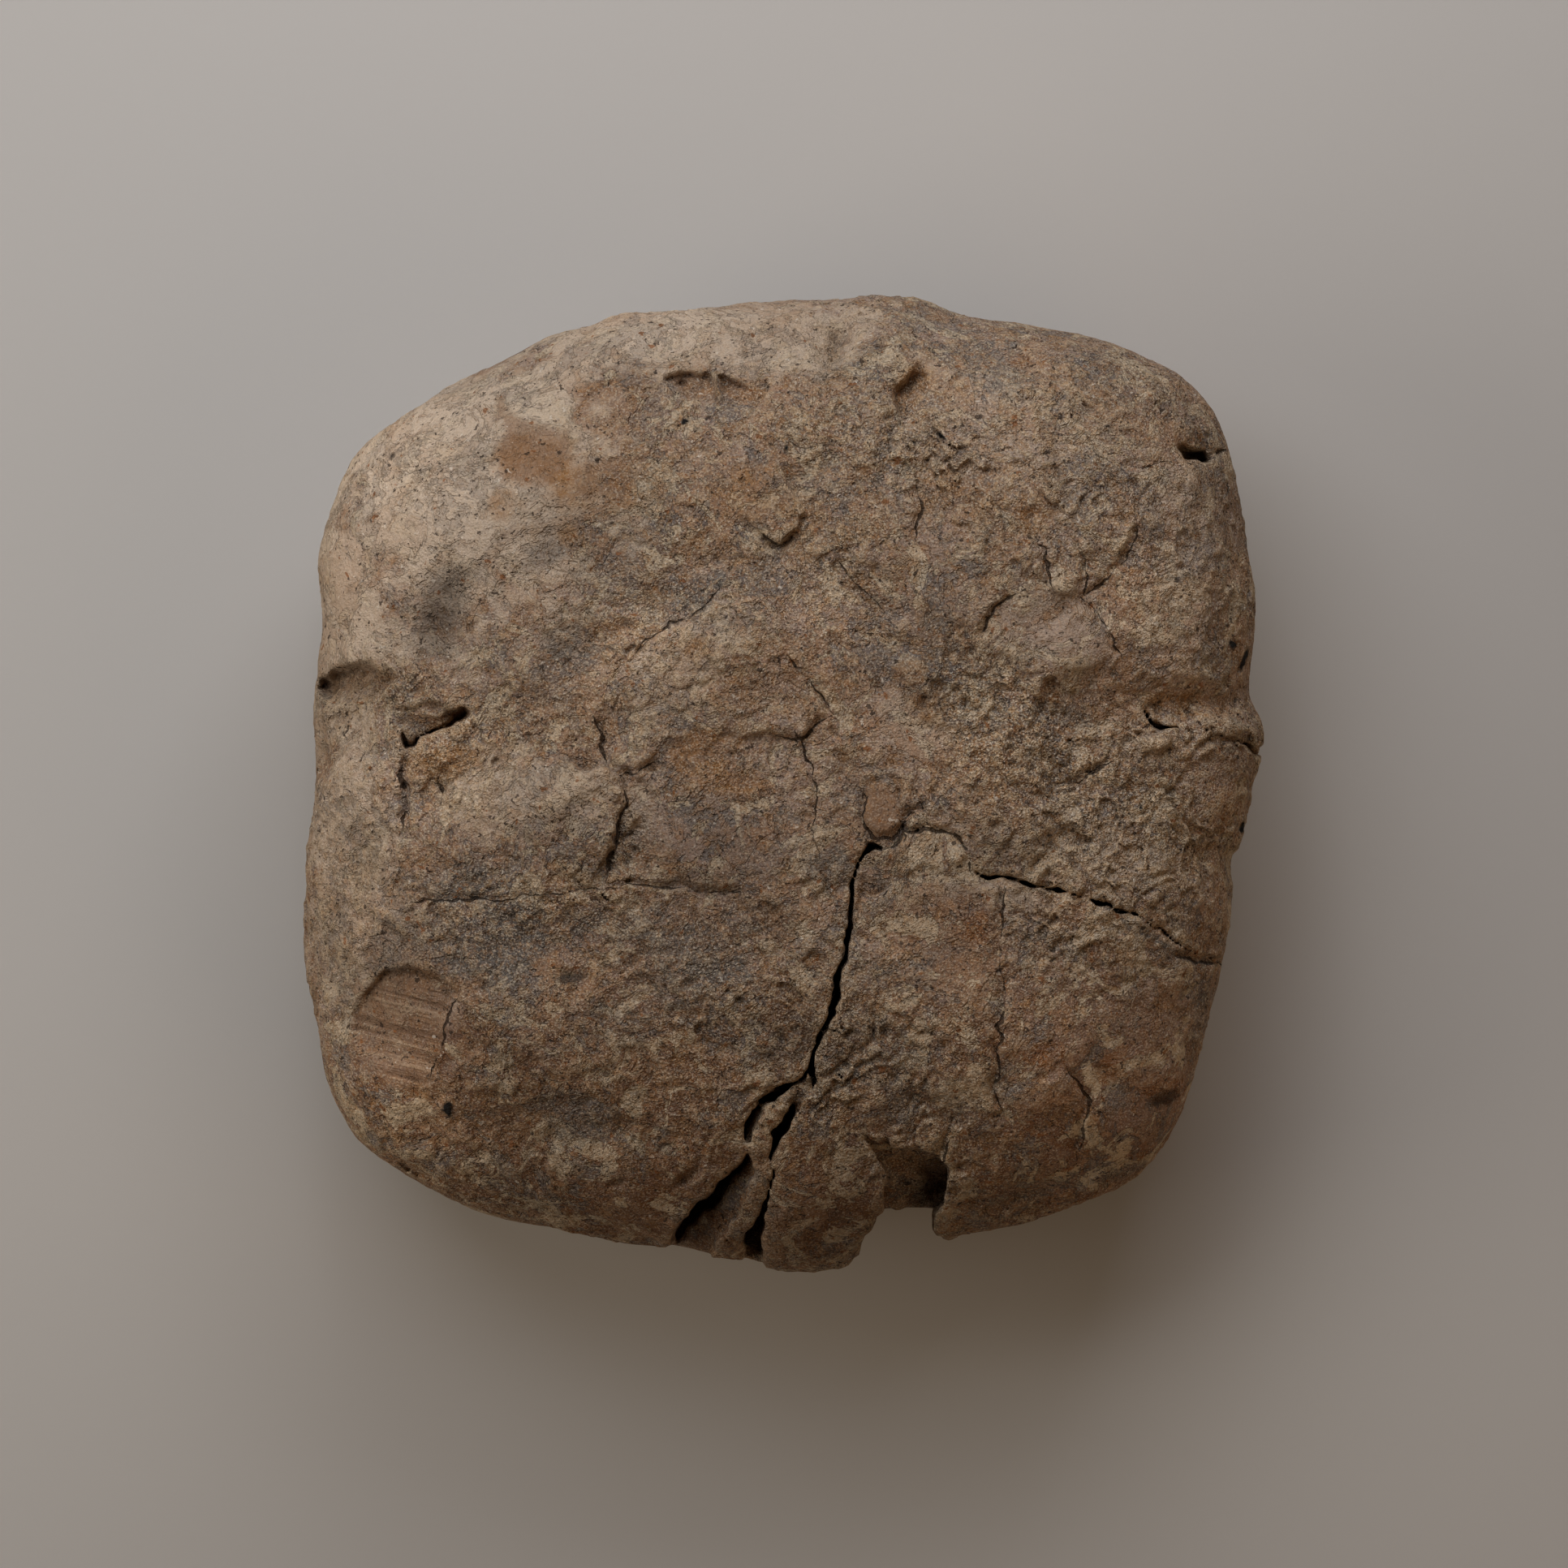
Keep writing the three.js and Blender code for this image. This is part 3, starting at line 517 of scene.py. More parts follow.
# %% Rough ground
# Each: x, y, half length, half width, turn, and how much rougher (+) or smoother (-) than usual.
ROUGH = [
    [7, 20.5, 4, 2.4, -20, 1], [12.4, 4.6, 3.6, 3.2, 30, 1.5], [20.5, -2.8, 5.5, 4.8, 0, 0.9],
    [15.5, 2, 4.5, 2.6, 0, 1], [4.5, -16.5, 4, 4, 0, 0.5], [-2, -14, 4, 3, 0, 0.5], [-9.8, -2.8, 1.6, 2.2, 0, 1],
    [-14, -7, 4, 1.8, 0, 0.7], [-19, -8.2, 4, 1.8, 0, 0.5], [16, 18.5, 6, 5, 0, 0.5], [-24.4, 5.8, 2.8, 1.2, 16, 1],
    [-8, 8.5, 4.5, 4, 30, 0.4], [3.4, 13.5, 3.2, 3.6, 0, 0.5], [8.8, -22.5, 2, 2.6, 0, 0.8],
    [25, 3, 3.4, 1.2, 0, 0.7], [2.2, -18.8, 1.6, 1.6, 0, 1], [0.8, 21.6, 2.6, 1.2, 0, 0.5], [-19, 2, 3, 2.6, 0, 0.6],
    [17.5, -9.5, 4, 3, 0, 0.4], [17.5, -3.6, 4, 1.4, -8, 0.9], [-21, 17, 8.5, 7, 45, -0.45],
    [-14, 25, 8, 2.6, 20, -0.4], [-26.5, 10, 2.6, 7, 0, -0.35], [8, 3, 2.2, 1.7, -40, -1.1],
    [16.4, 8.9, 4, 2.6, 0, -0.7], [8.2, 12.6, 3.2, 2.6, 0, -0.4], [-13.5, -1.4, 3.6, 2.6, 0, -0.4],
    [-4.4, -3.4, 3.6, 2.4, 0, -0.6], [-1.6, 17.8, 2.4, 2, 0, -0.5], [17.9, 3.9, 2, 1.8, 0, -0.3],
    [-23, -15, 2.7, 2.8, 0, -1.6], [2, -25.6, 3, 3, 0, -0.45], [19.5, -22.5, 5.5, 3, 20, -0.5],
    [10, -9.6, 3, 4, 0, -0.35], [-9, -25.5, 8, 3, -12, -0.4], [-3, 28, 7, 1.8, 0, -0.5],
    [5.9, -1.7, 1.1, 1.7, 0, -0.8], [-15.2, 19.4, 2.4, 1.6, -15, -0.4], [19.5, -16, 6.5, 6, 0, -0.4],
]
DRAGGED = [[-12, -16.5, 12, 8, 12, 1], [-19, -20.5, 7, 3, -20, 0.7]]


rough_plan = np.clip(weight(ROUGH, plan_x, plan_y, 0.8), 0.2, 2.0)
drag_plan = np.clip(weight(DRAGGED, plan_x, plan_y), 0, 1)
print(f"roughness from {rough_plan.min():.2f} to {rough_plan.max():.2f}")

# %% [markdown]
# The relief is added only in a thin shell about the skin, because nowhere else matters. On the face it follows the
# plan. The sides and the back have only the random ground, so they are finished alike but plainer.

# %% Add the relief
SHELL = 1.3  # how far either side of the skin the random ground is worked out, mm
BACK_ROUGH = 0.35  # of the sides and the back

plan_rise = pressed(torn_x, torn_y) + leaned(torn_x, torn_y) + stepped(torn_x, torn_y) - cracked(torn_x, torn_y)
on_face = smooth_step(LEVEL - 2.0, LEVEL + 3.0, gz)
field -= plan_rise[:, :, None] * on_face[None, None, :]

shell = np.flatnonzero(np.abs(field.ravel()) < SHELL)
si, sj, sk = np.unravel_index(shell, field.shape)
sx, sy, sz = gx[si], gy[sj], gz[sk]
face = on_face[sk]
rough = BACK_ROUGH + face * (rough_plan[si, sj] - BACK_ROUGH)
drag = drag_plan[si, sj] * face
blade = smooth_step(0.1, -0.3, from_outline(BLADE_MARK, plan_x, plan_y))
print(f"shell: {len(shell) / 1e6:.1f} million points")


def crumbs():
    """Random ground in five sizes. The middle ones are folded, 1 - 2 |ground|, which gives creases and crumbs."""
    rise = layered(sx, sy, sz, [[0.42, 6.5, 11], [0.24, 3.0, 12]])
    for tall, size, seed in ((0.075, 1.9, 13), (0.07, 0.95, 14)):
        rise += (tall * rough) * (1 - 2 * np.abs(ground(sx, sy, sz, size, seed)))
    rise += 0.07 * (0.5 + 0.5 * rough) * (0.3 + 0.7 * face) * ground(sx, sy, sz, 0.42, 15)
    return rise


LAYERS = [[-0.4, 0.42], [-0.02, 0.5], [0.36, 0.42]]  # where each layer ends on the torn ground, and its height in mm


def flakes():
    """Layers that have come off: torn ground cut at three levels, each a sharp step less the same step made broad."""
    sheet = layered(sx, sy, sz, [[1.0, 5.0, 81], [0.45, 1.5, 82], [0.22, 0.6, 83]])
    crumb = ground(sx, sy, sz, 0.55, 84)
    rise = 0
    for cut, tall in LAYERS:
        rise = rise + tall * (smooth_step(cut - 0.04, cut + 0.04, sheet) - smooth_step(cut - 0.4, cut + 0.4, sheet))
        rise = rise + 0.16 * crumb * np.exp(-(((sheet - cut + 0.06) / 0.1) ** 2))
    return rise * np.clip(rough - 0.2, 0.1, 1.1) * face


DRAG_TURN, BLADE_TURN = 22, -13  # directions of the drag marks and of the blade's streaks, degrees


def drags():
    """Ground 0.8 mm across, drawn out seven times along the drag, and 0.4 mm, sixteen times in the blade mark."""
    along, across = turned(sx, sy, DRAG_TURN)
    rise = drag * (0.12 * ground(along / 7, across, sz, 0.8, 21) + 0.06 * ground(along / 5, across, sz, 0.4, 22))
    along, across = turned(sx, sy, BLADE_TURN)
    return rise + blade[si, sj] * face * 0.07 * ground(along / 16, across, sz * 0, 0.4, 23)


def pits():
    """Small holes left by grit and straw: where ground of 0.7 mm lies below a level, 0.25 mm of clay is missing."""
    holes = smooth_step(0.52, 0.8, -ground(sx, sy, sz, 0.7, 31)) * smooth_step(0.1, 0.5, ground(sx, sy, sz, 4, 32))
    return -0.25 * holes * np.clip(0.35 + 0.5 * rough, 0, 1)


field.ravel()[shell] -= crumbs() + flakes() + drags() + pits()
print("crumbs, flakes, drag marks and pits added")

# %% [markdown]
# ## The open cracks
# The big cracks go several millimetres into the lump. Each is a line with a width at every point. The gap narrows
# with depth and ends at a floor, which is never lower than just under the rim. The lips are a little rounded, because
# clay crumbles there first.

# %% Open cracks
# Each: depth in mm, width of the floor as a share of the mouth, how round the lips are in mm, then [x, y, width].
OPEN = [
    # the long crack, from the pebble down to the flake
    [9, 0.3, 0.12, [[5.3, -3.75, 0.16], [4.95, -4.2, 0.25], [4.7, -5, 0.30], [4.25, -6.5, 0.31], [4.35, -7.4, 0.30],
        [4.25, -8.65, 0.34], [3.8, -9.75, 0.38], [3.75, -10.75, 0.34], [3.25, -12.55, 0.41], [2.75, -14.3, 0.41],
        [2.4, -15.6, 0.37], [1.95, -17.1, 0.41], [1.85, -17.9, 0.34], [2.05, -18.7, 0.16]]],
    [4, 0.2, 0.1, [[1.9, -17.4, 0.25], [1.2, -18, 0.2], [0.6, -18.3, 0.22], [-0.3, -18.8, 0.4]]],
    # left of the flake: a wall on the left, and the flake's own slope on the right
    [1.5, 0.05, 0.25, [[0.1, -18.7, 0.4], [-0.9, -19.5, 0.7], [-1.5, -20.5, 0.9], [-1.8, -21.4, 0.8], [-2, -22.2,
        0.3]]],
    [4.5, 0.3, 0.12, [[-0.5, -18.95, 0.15], [-1.3, -19.65, 0.26], [-1.85, -20.6, 0.34], [-2.15, -21.5, 0.3], [-2.2,
        -22.1, 0.15]]],
    # right of the flake
    [4.5, 0.2, 0.15, [[0.75, -19.6, 0.3], [0.4, -20.5, 0.55], [-0.1, -21.4, 0.62], [-0.6, -22.3, 0.36], [-0.85, -22.9,
        0.3]]],
    [4, 0.2, 0.12, [[-0.85, -22.8, 0.26], [-0.95, -23.3, 0.2], [-0.68, -24.1, 0.22], [-0.9, -25.05, 0.2], [-1.2,
        -25.85, 0.26], [-1.45, -26.8, 0.36], [-1.7, -27.9, 0.6], [-1.8, -28.9, 0.5], [-1.9, -31, 0.7]]],
    [1.4, 0, 0.4, [[-1.5, -26.9, 0.6], [-1.75, -27.9, 1.3], [-1.9, -29, 1.2], [-1.9, -31, 1.2]]],
    # the seam under the wall of the valley at the lower left
    [4, 0.25, 0.2, [[-2.2, -23.1, 0.2], [-3.1, -24.05, 0.5], [-4.05, -25.2, 0.8], [-4.9, -26.25, 0.95], [-5.8, -27.3,
        0.7], [-6.6, -28.4, 0.4], [-7.3, -31, 0.3]]],
    # the crack on the right, opening and closing
    [7, 0.3, 0.1, [[11.25, -5.25, 0.12], [12.2, -5.7, 0.3], [13.2, -5.9, 0.34], [15.15, -6.25, 0.3], [15.5, -6.2,
        0.08], [15.9, -6.35, 0.26], [17.05, -6.55, 0.34], [17.75, -6.7, 0.14], [18.7, -7.1, 0.1], [19.6, -7.5, 0.2],
        [20.05, -7.75, 0.08], [21.75, -8.2, 0.14], [23.9, -9.7, 0.16], [24.9, -10.3, 0.1]]],
    [3, 0.3, 0.1, [[24.9, -10.3, 0.1], [26.05, -11.1, 0.1], [27.25, -11.35, 0.2], [31, -11.9, 0.4]]],
    # the fissure on the right edge
    [3.5, 0.2, 0.1, [[21.9, 4.8, 0.12], [22.15, 4.4, 0.34], [22.45, 3.95, 0.44], [22.9, 3.6, 0.34], [23.5, 3.35, 0.2],
        [24.4, 3.2, 0.1]]],
    [2, 0.2, 0.12, [[27, 2.75, 0.1], [27.9, 2.45, 0.15], [28.65, 2.15, 0.4], [31, 1.9, 0.8]]],
    # the seam under the gash at the left
    [2, 0.2, 0.1, [[-23.3, 3.1, 0.2], [-23.15, 2.3, 0.4], [-22.7, 2.25, 0.26], [-22.1, 2.5, 0.24], [-21.35, 3, 0.26],
        [-20.5, 3.5, 0.3], [-19.8, 3.9, 0.36], [-19.3, 4.25, 0.4]]],
    [1.8, 0.3, 0.12, [[6.05, -4.1, 0.25], [5.5, -4, 0.3], [5.05, -4.2, 0.3]]],
    [1.2, 0.1, 0.12, [[7, -3.3, 0.15], [7.4, -2.7, 0.3], [7.9, -3.05, 0.2], [8.6, -2.95, 0.1]]],
]


def soft_max(a, b, radius):
    """The larger of two fields, rounded where they meet: the blend is 0.5 + 0.5 (a - b) / radius, within 0 and 1."""
    h = np.clip(0.5 + 0.5 * (a - b) / radius, 0, 1)
    return a * h + b * (1 - h) + radius * h * (1 - h)


DEEPEST = LEVEL - 1.2  # height of the lowest floor that a crack may have, mm
cut_columns = 0
for deep, share, lip, line in OPEN:
    near, _, way, wide = from_line(line, torn_x, torn_y)
    columns = np.nonzero(near < wide / 2 + SHELL)
    wide, way = wide[columns][:, None], way[columns][:, None]
    floor = deep * (0.5 + 0.5 * smooth_step(0, 0.15, way))
    if rim_share(np.float32(line[-1][0]), np.float32(line[-1][1])) < 1:
        floor = floor * (1 - 0.5 * smooth_step(0.85, 1, way))
    under = -field[columns]
    ragged = ground(gx[columns[0]][:, None], gy[columns[1]][:, None], gz[None, :], 0.7, 41)
    void = near[columns][:, None] - wide / 2 - 0.1 * ragged
    void = void + (1 - share) * wide / 2 / deep * np.clip(under, -1, None)
    void = np.maximum(void, 0.8 * (under - floor))
    void = np.maximum(void, DEEPEST - gz[None, :])
    field[columns] = soft_max(field[columns], -void, lip)
    cut_columns += len(columns[0])
print(f"{len(OPEN)} open cracks cut through {cut_columns} columns of the grid")

# %% [markdown]
# ## The notch
# A piece has gone from the lower edge. Its bed slopes down from the face and ends in an open notch through the rim.
# It is cut by an outline in plan and a floor whose height is given against the distance down the tablet. The bed
# leans to the right, into a pocket.

# %% The notch
NOTCH = [
    [4.9, -21.5], [5.6, -22.2], [6.05, -23.1], [6.3, -24.1], [6.15, -25], [6.15, -26.3], [5.75, -27], [5.35, -28.1],
    [4.6, -29.5], [4.1, -33], [11, -33], [10.2, -28.7], [9.65, -27.4], [9.4, -26.6], [9.95, -26], [9.95, -23.9],
    [10, -22.9], [9, -22.7], [7.6, -22.5], [6.4, -22],
]
BED_Y = [-33.0, -26.75, -26.4, -25.4, -24.4, -23.2, -22.2, -21.2]
BED_RISE = [-20.0, -20.0, 3.2, 4.6, 6.0, 7.6, 9.4, 11.6]  # above the widest level, mm

BED_LEAN, BED_MIDDLE = 0.45, 7.5  # how much it drops to the right, and from which x in mm
POCKET = [[9.5, -24.9, 0.7, 0.9, 0, 1.4]]  # an oval, then its depth in mm

edge = from_outline(NOTCH, torn_x, torn_y)
bed = LEVEL + np.interp(torn_y, BED_Y, BED_RISE) + 0.5 * ground(plan_x, plan_y, 0, 1.5, 51)
bed -= BED_LEAN * (torn_x - BED_MIDDLE) * smooth_step(-22.4, -24.0, torn_y) + weight(POCKET, torn_x, torn_y)
columns = np.nonzero(edge < 1.5)
notch_at = (gx[columns[0]][:, None], gy[columns[1]][:, None], gz[None, :])
rugged = layered(*notch_at, [[0.2, 1.0, 52], [0.08, 0.45, 53]])
void = np.maximum(edge[columns][:, None] + rugged, 0.75 * (bed[columns][:, None] - gz[None, :]) + rugged)
field[columns] = soft_max(field[columns], -void, 0.3)
print(f"notch cut through {len(columns[0])} columns")

# %% The flat it rests on
field = np.maximum(field, -gz[None, None, :])

# %% [markdown]
# ## Drawing the skin
# The skin is drawn with surface nets: every cell of the grid that the skin passes through gets one vertex, and every
# grid edge that it crosses gets one four-sided face. It is closed by its making. Marching cubes would do too, but
# gives thin triangles. Loose crumbs that the cracks cut free are dropped, by keeping only the largest shell.

# %% Surface nets
CORNERS = [(i, j, k) for i in (0, 1) for j in (0, 1) for k in (0, 1)]
CELL_EDGES = [  # pairs of corners one step apart
    (a, b) for a in range(8) for b in range(a + 1, 8) if np.abs(np.subtract(CORNERS[a], CORNERS[b])).sum() == 1
]


def surface_net(values, x, y, z):
    """Vertices at the mean of the points where the field passes zero on a cell's edges, faces round grid edges."""
    inside = values < 0
    shape = tuple(n - 1 for n in values.shape)
    filled = np.zeros(shape, np.int8)
    for i, j, k in CORNERS:
        filled += inside[i : shape[0] + i, j : shape[1] + j, k : shape[2] + k]
    active = np.flatnonzero((filled > 0) & (filled < 8))
    number = np.full(np.prod(shape), -1, np.int32)
    number[active] = np.arange(len(active))
    i, j, k = np.unravel_index(active, shape)
    at = [values[i + a, j + b, k + c] for a, b, c in CORNERS]
    total, hits = np.zeros((len(active), 3), np.float32), np.zeros(len(active), np.float32)
    for a, b in CELL_EDGES:
        crosses = (at[a] < 0) != (at[b] < 0)
        t = np.where(crosses, at[a] / np.where(crosses, at[a] - at[b], 1), 0)[:, None]
        point = np.float32(CORNERS[a]) + t * (np.float32(CORNERS[b]) - np.float32(CORNERS[a]))
        total += point * crosses[:, None]
        hits += crosses
    total /= hits[:, None]
    spots = np.column_stack([
        x[i] + total[:, 0] * (x[1] - x[0]), y[j] + total[:, 1] * (y[1] - y[0]), z[k] + total[:, 2] * (z[1] - z[0]),
    ])
    return spots, net_faces(inside, number.reshape(shape))


def net_faces(inside, number):
    """One face for each grid edge with one end inside, through the four cells round it, turned to face outwards."""
    faces = []
    for axis in range(3):
        swung = inside.transpose(axis, (axis + 1) % 3, (axis + 2) % 3)
        cells = number.transpose(axis, (axis + 1) % 3, (axis + 2) % 3)
        starts, ends = swung[:-1, 1:-1, 1:-1], swung[1:, 1:-1, 1:-1]
        a, b, c = np.nonzero(starts != ends)
        ring = np.column_stack([cells[a, b, c], cells[a, b + 1, c], cells[a, b + 1, c + 1], cells[a, b, c + 1]])
        out = starts[a, b, c]
        faces.append(np.where(out[:, None], ring, ring[:, ::-1]))
    return np.concatenate(faces)


spots, faces = surface_net(field, gx, gy, gz)
print(f"net: {len(spots)} vertices, {len(faces)} faces")

# %% Keep the largest shell


def largest_shell(spots, faces):
    """Each vertex takes the lowest number among its neighbours, until each shell has one. The commonest stays."""
    label = np.arange(len(spots))
    a, b = faces.ravel(), np.roll(faces, -1, axis=1).ravel()
    while True:
        lowest = np.minimum(label[a], label[b])
        new = label.copy()
        np.minimum.at(new, a, lowest)
        np.minimum.at(new, b, lowest)
        new = new[new]
        if np.array_equal(new, label):
            break
        label = new
    names, counts = np.unique(label, return_counts=True)
    keep = label == names[counts.argmax()]
    renumber = np.cumsum(keep) - 1
    return spots[keep], renumber[faces[keep[faces[:, 0]]]], len(names)


spots, faces, shells = largest_shell(spots, faces)
print(f"{shells} shells found, the largest kept: {len(faces)} faces")

# %% Into a mesh
TARGET = 196000  # triangles


def mesh_of(name, points, quads):
    """A mesh from whole arrays of points, in metres, and four-sided faces."""
    mesh = bpy.data.meshes.new(name)
    mesh.vertices.add(len(points))
    mesh.vertices.foreach_set("co", np.ascontiguousarray(points, np.float32).ravel())
    mesh.loops.add(quads.size)
    mesh.loops.foreach_set("vertex_index", np.ascontiguousarray(quads, np.int32).ravel())
    mesh.polygons.add(len(quads))
    mesh.polygons.foreach_set("loop_start", np.arange(0, quads.size, 4, dtype=np.int32))
    mesh.update(calc_edges=True)
    return mesh


fine = bpy.data.objects.new("clay_fine", mesh_of("clay_fine", spots * MM, faces))
bpy.context.scene.collection.objects.link(fine)
thin = fine.modifiers.new("thin", "DECIMATE")
thin.ratio = min(1.0, TARGET / (2 * len(faces)))
thin.use_collapse_triangulate = True
shape = bpy.data.meshes.new_from_object(fine.evaluated_get(bpy.context.evaluated_depsgraph_get()))
bpy.data.objects.remove(fine)
print(f"thinned to {len(shape.polygons)} triangles")

# %% [markdown]
# The thinned skin has small triangles where the face is broken and large ones where it is smooth. Its box is brought
# to the solid's own, to the hundredth of a millimetre, so that it never stands outside it. The relief stands above
# the pillow, so in height this is a squeeze of about 4 percent.

# %% Fit the box
MOST_GROWTH = 1.02  # along any axis
INSIDE = 0.99995  # a hair smaller than the box, for rounding

co = np.empty(len(shape.vertices) * 3, np.float32)
shape.vertices.foreach_get("co", co)
co = co.reshape(-1, 3).astype(np.float64)
size_now, size_cad = np.ptp(co, axis=0), np.array(high) - np.array(low)
scale = np.minimum(size_cad / size_now, MOST_GROWTH)
co = (co - (co.max(0) + co.min(0)) / 2) * scale * INSIDE
co += (np.array(low) + np.array(high)) / 2
co[:, 2] += low[2] - co[:, 2].min()
shape.vertices.foreach_set("co", co.astype(np.float32).ravel())
shape.name = "clay_body"
shape.polygons.foreach_set("use_smooth", np.ones(len(shape.polygons), bool))
shape.update()
clay = bpy.data.objects.new("clay_body", shape)
bpy.context.scene.collection.objects.link(clay)
print("size before", np.round(size_now / MM, 3), "scaled by", np.round(scale, 4))
